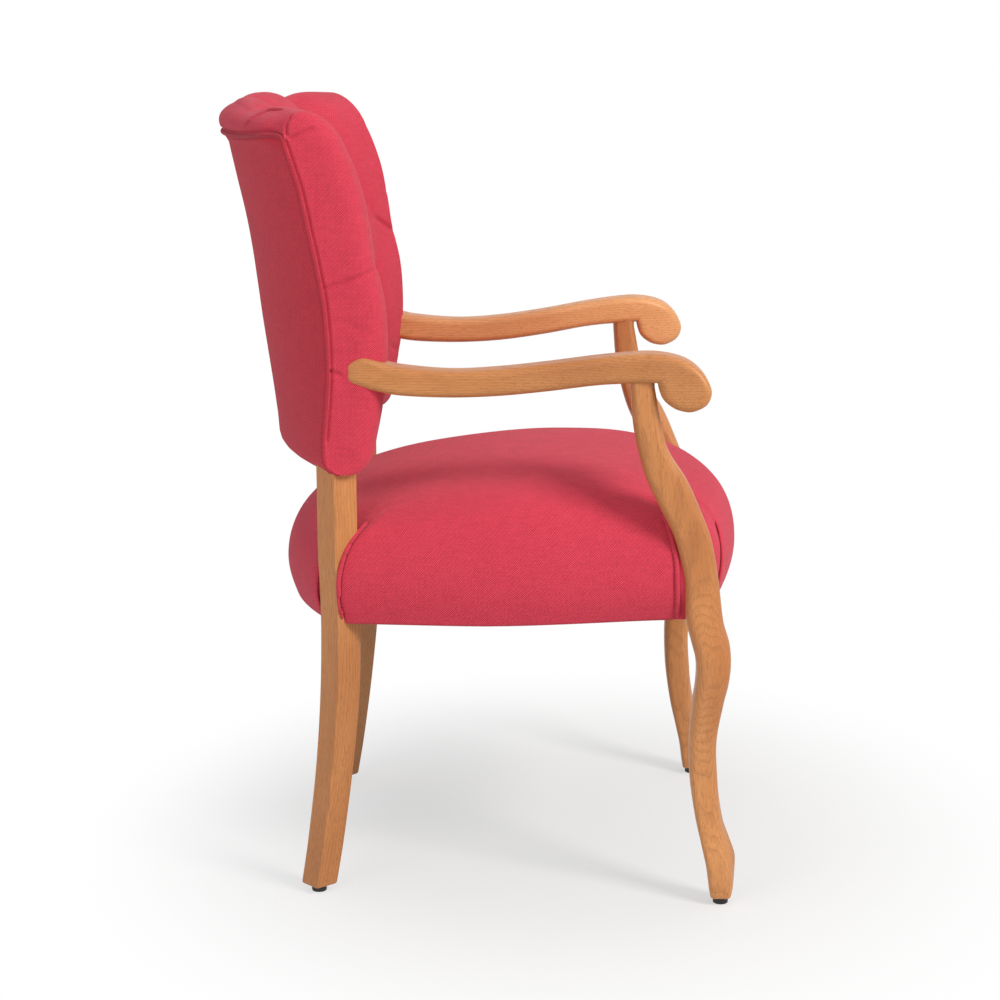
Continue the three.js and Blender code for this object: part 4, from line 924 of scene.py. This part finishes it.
def tuft_depth(column, row):
    """How deep the pleats and buttons press the cloth in, at a place among the diamonds."""
    u = np.clip(column, -TUFT_COLUMNS / 2, TUFT_COLUMNS / 2)
    v = np.clip(row, 0, TUFT_ROWS)

    def edge(value):
        return np.abs(2 * (value - np.floor(value)) - 1) ** 2.6

    pillow = (1 - edge((u + v) / 2)) * (1 - edge((u - v) / 2))
    nearest, beside = np.round((u + v) / 2), np.round((u - v) / 2)
    away = np.hypot(column - nearest - beside, row - nearest + beside)
    depth = PLEAT_DEPTH * (1 - pillow) + BUTTON_DEPTH * np.exp(-((away / 0.3) ** 2))
    return depth * (1 - 0.88 * smoothstep(np.abs(column), 2.1, 3))


def tuft_share(row):
    return TUFT_TOP - TUFT_PITCH * row


# How many points of a loop lie on the outer face, on the roll, on the front and on the foot.
REAR_ROWS, ROLL_ROWS, FRONT_ROWS, FOOT_ROWS = 130, 80, 151, 38


def foot_share(angle):
    """How far down the back's foot reaches, from its front at 0 to its rear at pi."""
    return np.sin(angle) ** np.where(np.asarray(angle) > math.pi / 2, 0.5, 1.0)


def foot_width(angle):
    """How far the foot has widened from the wings' front edges to the outer face's."""
    return np.minimum(np.asarray(angle) / (0.6 * math.pi), 1)


def back_section(share, across):
    """The depth halfway through the back, half its thickness, and the height."""
    rear, front = back_surface(share, across)
    return (rear + front) / 2, (rear - front) / 2, back_height(share)


def back_loops(across):
    """Points of the back's loops, and the middles that the boxing draws in to."""
    across = np.asarray(across, float)
    column = across / (2 * TUFT_COLUMN)
    rear_x, front_x = across * BACK_HALF_WIDTH, across * BACK_WING_X
    points, middles = [], []

    def add(x, y, z, middle_y, middle_z):
        points.append(np.stack(np.broadcast_arrays(x, y, z), 1))
        middles.append(np.stack(np.broadcast_arrays(x, middle_y, middle_z), 1))

    top_share = tuft_share(-TUFT_MARGIN)
    for share in np.linspace(BACK_REAR_SHARE, top_share, REAR_ROWS + 1)[:-1]:
        middle, half, z = back_section(share, across)
        add(rear_x, middle + half, z, middle, z)
    middle, half, base = back_section(top_share, across)
    crest = back_height(1) - BACK_ROLL_SIDE_DROP * across**2
    for angle in np.linspace(0, math.pi, ROLL_ROWS + 1)[:-1]:
        back = math.cos(angle) * half + math.sin(angle) * BACK_ROLL_LEAN
        overhang = math.sin(math.pi * min(angle / BACK_OVERHANG_REACH, 1)) * BACK_ROLL_OVERHANG
        overhang = overhang * (1 - smoothstep(np.abs(across), 0.86, 1))
        rise = math.sin(angle) * (crest - base)
        row = -TUFT_MARGIN * smoothstep(angle, math.pi / 2, math.pi)
        pleat = tuft_depth(column, row) * math.sin(angle / 2) ** 2
        x = rear_x + (front_x - rear_x) * angle / math.pi
        y = middle + back + overhang - pleat * math.cos(angle)
        add(x, y, base + rise - pleat * math.sin(angle), middle, base)
    for row in np.linspace(-TUFT_MARGIN, TUFT_ROWS + TUFT_MARGIN, FRONT_ROWS):
        middle, half, z = back_section(tuft_share(row), across)
        add(front_x, middle - half + tuft_depth(column, row), z, middle, z)
    middle, half, base = back_section(BACK_FOOT_SHARE, across)
    for angle in np.linspace(0, math.pi, FOOT_ROWS + 2)[1:-1]:
        y = middle - math.cos(angle) * half
        x = front_x + (rear_x - front_x) * foot_width(angle)
        fall = foot_share(angle) * (base - BACK_BOTTOM)
        row = TUFT_ROWS + TUFT_MARGIN * (1 - smoothstep(angle, 0, math.pi / 2))
        pleat = tuft_depth(column, row) * math.cos(angle / 2) ** 2
        add(x, y + pleat * math.cos(angle), base - fall + pleat * math.sin(angle), middle, base)
    return np.array(points), np.array(middles)


def back_body():
    """Loops across the back, with more of them near its sides, and the boxing at either side."""
    across = np.linspace(-1, 1, 189)
    across = across + 0.1 * np.sin(math.pi * across)
    loops, middles = (np.swapaxes(lines, 0, 1) for lines in back_loops(across))
    rings = list(loops)
    draws = np.linspace(0, 1, 31)[1:] ** 1.3
    for side, index in ((-1, 0), (1, -1)):
        edge, middle = loops[index], middles[index]
        out = []
        for draw in draws:
            come = (1 - (1 - draw) ** 2.5) ** 0.4
            ring = edge + (middle - edge) * draw
            ring[:, 0] = edge[:, 0] + (side * (BACK_HALF_WIDTH - BOXING_INSET) - edge[:, 0]) * come
            out.append(ring)
        rings = out[::-1] + rings if side == -1 else rings + out
    return np.vstack(rings), ring_faces(len(rings), loops.shape[1])


back = piece("back_upholstery", back_body(), FABRIC, ["inner_back_cover", "back_foam"])
back_cloth = Surface(back)


def outer_place(across, height):
    """The outer face's point at each place across and height, up to the top of the roll."""
    points, _ = back_loops(across)
    rising = points[: REAR_ROWS + ROLL_ROWS // 2]
    out = []
    for i, wanted in enumerate(np.broadcast_to(height, across.shape)):
        z = rising[:, i, 2]
        out.append([np.interp(wanted, z, rising[:, i, k]) for k in range(3)])
    return np.array(out)


def welt_top(across):
    """The height of the welt's top run, which climbs a little at the corners."""
    climb = smoothstep(np.abs(across), 0.55, 1) * WELT_CORNER_RISE
    return back_height(PANEL_TOP) + WELT_TOP_RISE + climb


def foot_line(across, angles):
    """Points round the back's foot, from its underside to the outer face."""
    middle, half, base = back_section(BACK_FOOT_SHARE, across)
    x = across * (BACK_WING_X + (BACK_HALF_WIDTH - BACK_WING_X) * foot_width(angles))
    z = base - foot_share(angles) * (base - BACK_BOTTOM)
    return np.stack([x, middle - np.cos(angles) * half, z], 1)


def welt_line(count):
    """The welt's path: up one side of the outer face, across under the roll and down the other."""
    foot = foot_line(-PANEL_EDGE, np.radians([134, 146, 160]))
    rise = np.linspace(back_height(PANEL_LOW), welt_top(PANEL_EDGE) - 3, 34)
    rise = outer_place(np.full(34, -PANEL_EDGE), rise)
    across = np.linspace(-PANEL_EDGE, PANEL_EDGE, 60)
    run = outer_place(across, welt_top(across))
    left = np.vstack([foot, rise])
    line = np.vstack([left, run[1:-1], left[::-1] * (-1, 1, 1)])
    return even(spline(line, 1200), count)


welt_points, normals = back_cloth.nearest(welt_line(460))
welt_points += normals * WELT_LIFT
welt_points[1:-1] = (welt_points[:-2] + welt_points[1:-1] + welt_points[2:]) / 3
welt_shape = tube(welt_points, WELT_RADIUS, 14)
welt = piece("outer_back_welt", welt_shape, WELT_PAINTED_SHADE_FABRIC, ["back_welt"])

# The seam beside the welt, the pleats of the corners and roll, and the folds at the wings' edges.
on_top = np.abs(welt_points[:, :1]) < SEAM_SIDE_X
seam = welt_points + np.where(on_top, (0, 0, SEAM_OFFSET), (0, -SEAM_OFFSET, 0))
back_cloth.crease(seam[14:-14:6], SEAM_DEPTH, SEAM_WIDTH, open_start=True, open_end=True)
# Each row: the line on the right side, depth, width, ridge beside it, and whether it starts sharply.
BACK_CREASES = [
    ([(-168, 309, 906), (-178, 304, 917), (-178, 302, 923), (-182, 293, 930), (-186, 283, 935),
      (-198, 271, 937), (-212, 259, 938)], 2.8, 2.0, 0.9, False),
    ([(-237.5, 256, 906), (-236.6, 258, 917), (-235, 259, 924), (-234, 256, 929), (-234, 250, 932)],
     3.4, 2.1, 0.8, True),
    ([(-238.5, 251, 901), (-238.5, 242, 905.6), (-238, 231, 910), (-237, 220, 914)],
     3.4, 2.0, 0.8, True),
    ([(-239.5, 214, 732), (-239.5, 202, 735), (-239, 187, 740), (-233, 170, 747), (-212, 154, 754)],
     3.0, 2.1, 1.0, True),
    ([(-239, 213, 637), (-239, 203, 634), (-239, 194, 631)], 2.8, 2.0, 0.8, True),
    ([(-209, 156, 752), (-202, 151, 755), (-188, 157, 764), (-165, 170, 778)], 4.6, 3.0, 0.0, True),
    ([(-205, 135, 589), (-190, 140, 596), (-170, 150, 606)], 2.4, 3.5, 0.0, False),
    ([(-205, 160, 800), (-218, 172, 812), (-232, 186, 816)], 1.4, 4.5, 0.0, False),
    ([(-239, 196, 690), (-237, 178, 684), (-228, 160, 676)], 1.2, 5.0, 0.0, False),
]
for _, side in SIDES:
    for line, depth, width, ridge, sharp in BACK_CREASES:
        line = mirrored(line, side)
        back_cloth.crease(line, depth, width, ridge=-side * ridge, open_start=sharp)
back_cloth.settle()


def outer_panel():
    """The outer back's own sheet, laid just over the back between the welts and round its foot."""
    across = np.linspace(-PANEL_EDGE, PANEL_EDGE, 100)
    angles = np.radians([112, 122, 132, 142, 152, 162, 172])
    foot = np.array([foot_line(a, angles) for a in across])
    low, high = back_height(PANEL_LOW), welt_top(across) - 1
    rise = [outer_place(across, low + (high - low) * share) for share in np.linspace(0, 1, 64)]
    grid = np.concatenate([np.swapaxes(foot, 0, 1), rise])
    ahead = np.gradient(grid, axis=0)
    out = unit(np.stack([np.zeros(ahead.shape[:2]), ahead[:, :, 2], -ahead[:, :, 1]], 2))
    # Each ring runs along the outer side of the sheet and back along its inner side.
    rings = np.concatenate([grid + out * PANEL_OUT, (grid - out * PANEL_IN)[:, ::-1]], 1)
    rows, count = rings.shape[:2]
    faces = ring_faces(rows, count)
    for first in (0, (rows - 1) * count):
        for i in range(len(across) - 1):
            faces.append((first + i, first + i + 1, first + count - 2 - i, first + count - 1 - i))
    return rings.reshape(-1, 3), faces


panel = piece("outer_back_panel", outer_panel(), PANEL_PAINTED_SHADE_FABRIC, ["outer_back_cover"])


# Each pair: share of the radius, and share of the height or, below 0, of the depth.
BUTTON_RINGS = ((0.7, -1), (0.97, -0.6), (1, 0), (0.95, 0.35), (0.82, 0.65), (0.6, 0.86), (0.32, 0.97))


def covered_button(centre):
    """A button's dome, which faces forwards, and the cloth that goes in behind it."""
    sine, cosine = circle(28)
    rings = []
    for share, rise in BUTTON_RINGS:
        radius = BUTTON_RADIUS * share
        forward = rise * (BUTTON_HEIGHT if rise > 0 else BUTTON_DEPTH)
        rings.append(centre + np.hstack([radius * cosine, np.full_like(sine, -forward), radius * sine]))
    return loft(rings)


columns = range(1 - TUFT_COLUMNS // 2, TUFT_COLUMNS // 2)
tufts = [(row, column) for row in range(TUFT_ROWS + 1) for column in columns if (row + column) % 2 == 0]
for number, (row, column) in enumerate(tufts, 1):
    across, share = column * 2 * TUFT_COLUMN, tuft_share(row)
    front = back_surface(share, across)[1][0] + PLEAT_DEPTH + BUTTON_SINK
    shape = covered_button((across * BACK_WING_X, front, back_height(share)))
    name = f"button_{number:02d}"
    piece(f"covered_{name}", shape, FABRIC, [f"back_{name}"])


# Carried-over solids: the straps, the screws and the wood inside the upholstery

for name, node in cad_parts.items():
    if not node.hide_render:
        material = WEBBING if "strap" in name else STEEL if "screw" in name else FRAME_WOOD
        node.data.materials.clear()
        node.data.materials.append(material)


# Floor, light and background

FLOOR_TONES = ((0.75, 0.75, 0.75, 1), (0.71, 0.71, 0.71, 1))
# How much painted white glow covers the floor, from half near the chair to all of it far away.
FLOOR_FADE = {"From Min": 0.22, "From Max": 0.66, "To Min": 0.53, "To Max": 1.0}
FLOOR_SQUEEZE, FLOOR_SHIFT, FLOOR_REACH = (0.8, 1, 1), (0, 0.12, 0), 30
AMBIENT = {"Color": (1.0, 0.99, 0.98, 1), "Strength": 0.45}
WHITE = {"Color": (1, 1, 1, 1), "Strength": 1.0}
# Each row: name, place, target, side, power, colour.
LAMPS = (
    ("key", (-2.0, -2.2, 2.6), (0, 0, 0.5), 1.0, 90, (1, 0.98, 0.95)),
    ("top", (0.2, -0.4, 3.2), (0, 0, 0.4), 2.4, 14, (1, 1, 1)),
    ("fill", (-2.8, 1.8, 1.6), (0, 0, 0.6), 1.8, 24, (1, 1, 1)),
)


def floor_material():
    """Pale floor that keeps a lightened shadow near the chair and fades to white far from it. The white
    is a glow for camera and reflection rays, a painted light that covers half of the shadow near the
    chair.
    """
    n = Nodes(bpy.data.materials.new("floor"))
    position = n.mapping(n.coordinates("Object"), FLOOR_SQUEEZE, FLOOR_SHIFT)
    inputs = {"Value": n.vector("LENGTH", {0: position})["Value"], **FLOOR_FADE}
    fade = n.add("MapRange", inputs, interpolation_type="SMOOTHSTEP").outputs[0]
    pale = n.mix(n.times(n.noise(position, 240.0), 0.5), *FLOOR_TONES)
    diffuse = n.shader({"Base Color": pale, "Roughness": 0.95, "Specular IOR Level": 0.1})
    white = n.shader(WHITE, "Emission")
    blend = {0: n.times(fade, n.seen()), 1: diffuse, 2: white}
    return n.finish(n.shader(blend, "MixShader"))


def studio_world():
    """A soft even light, which looks white wherever the camera or a reflection meets it."""
    n = Nodes(bpy.data.worlds.new("studio"))
    soft, white = (n.shader(inputs, "Background") for inputs in (AMBIENT, WHITE))
    blend = {0: n.seen(), 1: soft, 2: white}
    return n.finish(n.shader(blend, "MixShader"), "OutputWorld")


corners = np.array([(-1, -1, 0), (1, -1, 0), (1, 1, 0), (-1, 1, 0)]) * FLOOR_REACH
floor_mesh = bpy.data.meshes.new("floor")
floor_mesh.from_pydata(corners.tolist(), [], [(0, 1, 2, 3)])
floor_mesh.materials.append(floor_material())
linked("floor", floor_mesh)
bpy.context.scene.world = studio_world()

for name, location, target, side_length, power, colour in LAMPS:
    data = bpy.data.lights.new(name, "AREA")
    data.size, data.energy, data.color = side_length, power, colour
    lamp = linked(name, data)
    lamp.location = location
    lamp.rotation_euler = (Vector(target) - Vector(location)).to_track_quat("-Z", "Y").to_euler()

bpy.context.scene.view_settings.view_transform = "Standard"
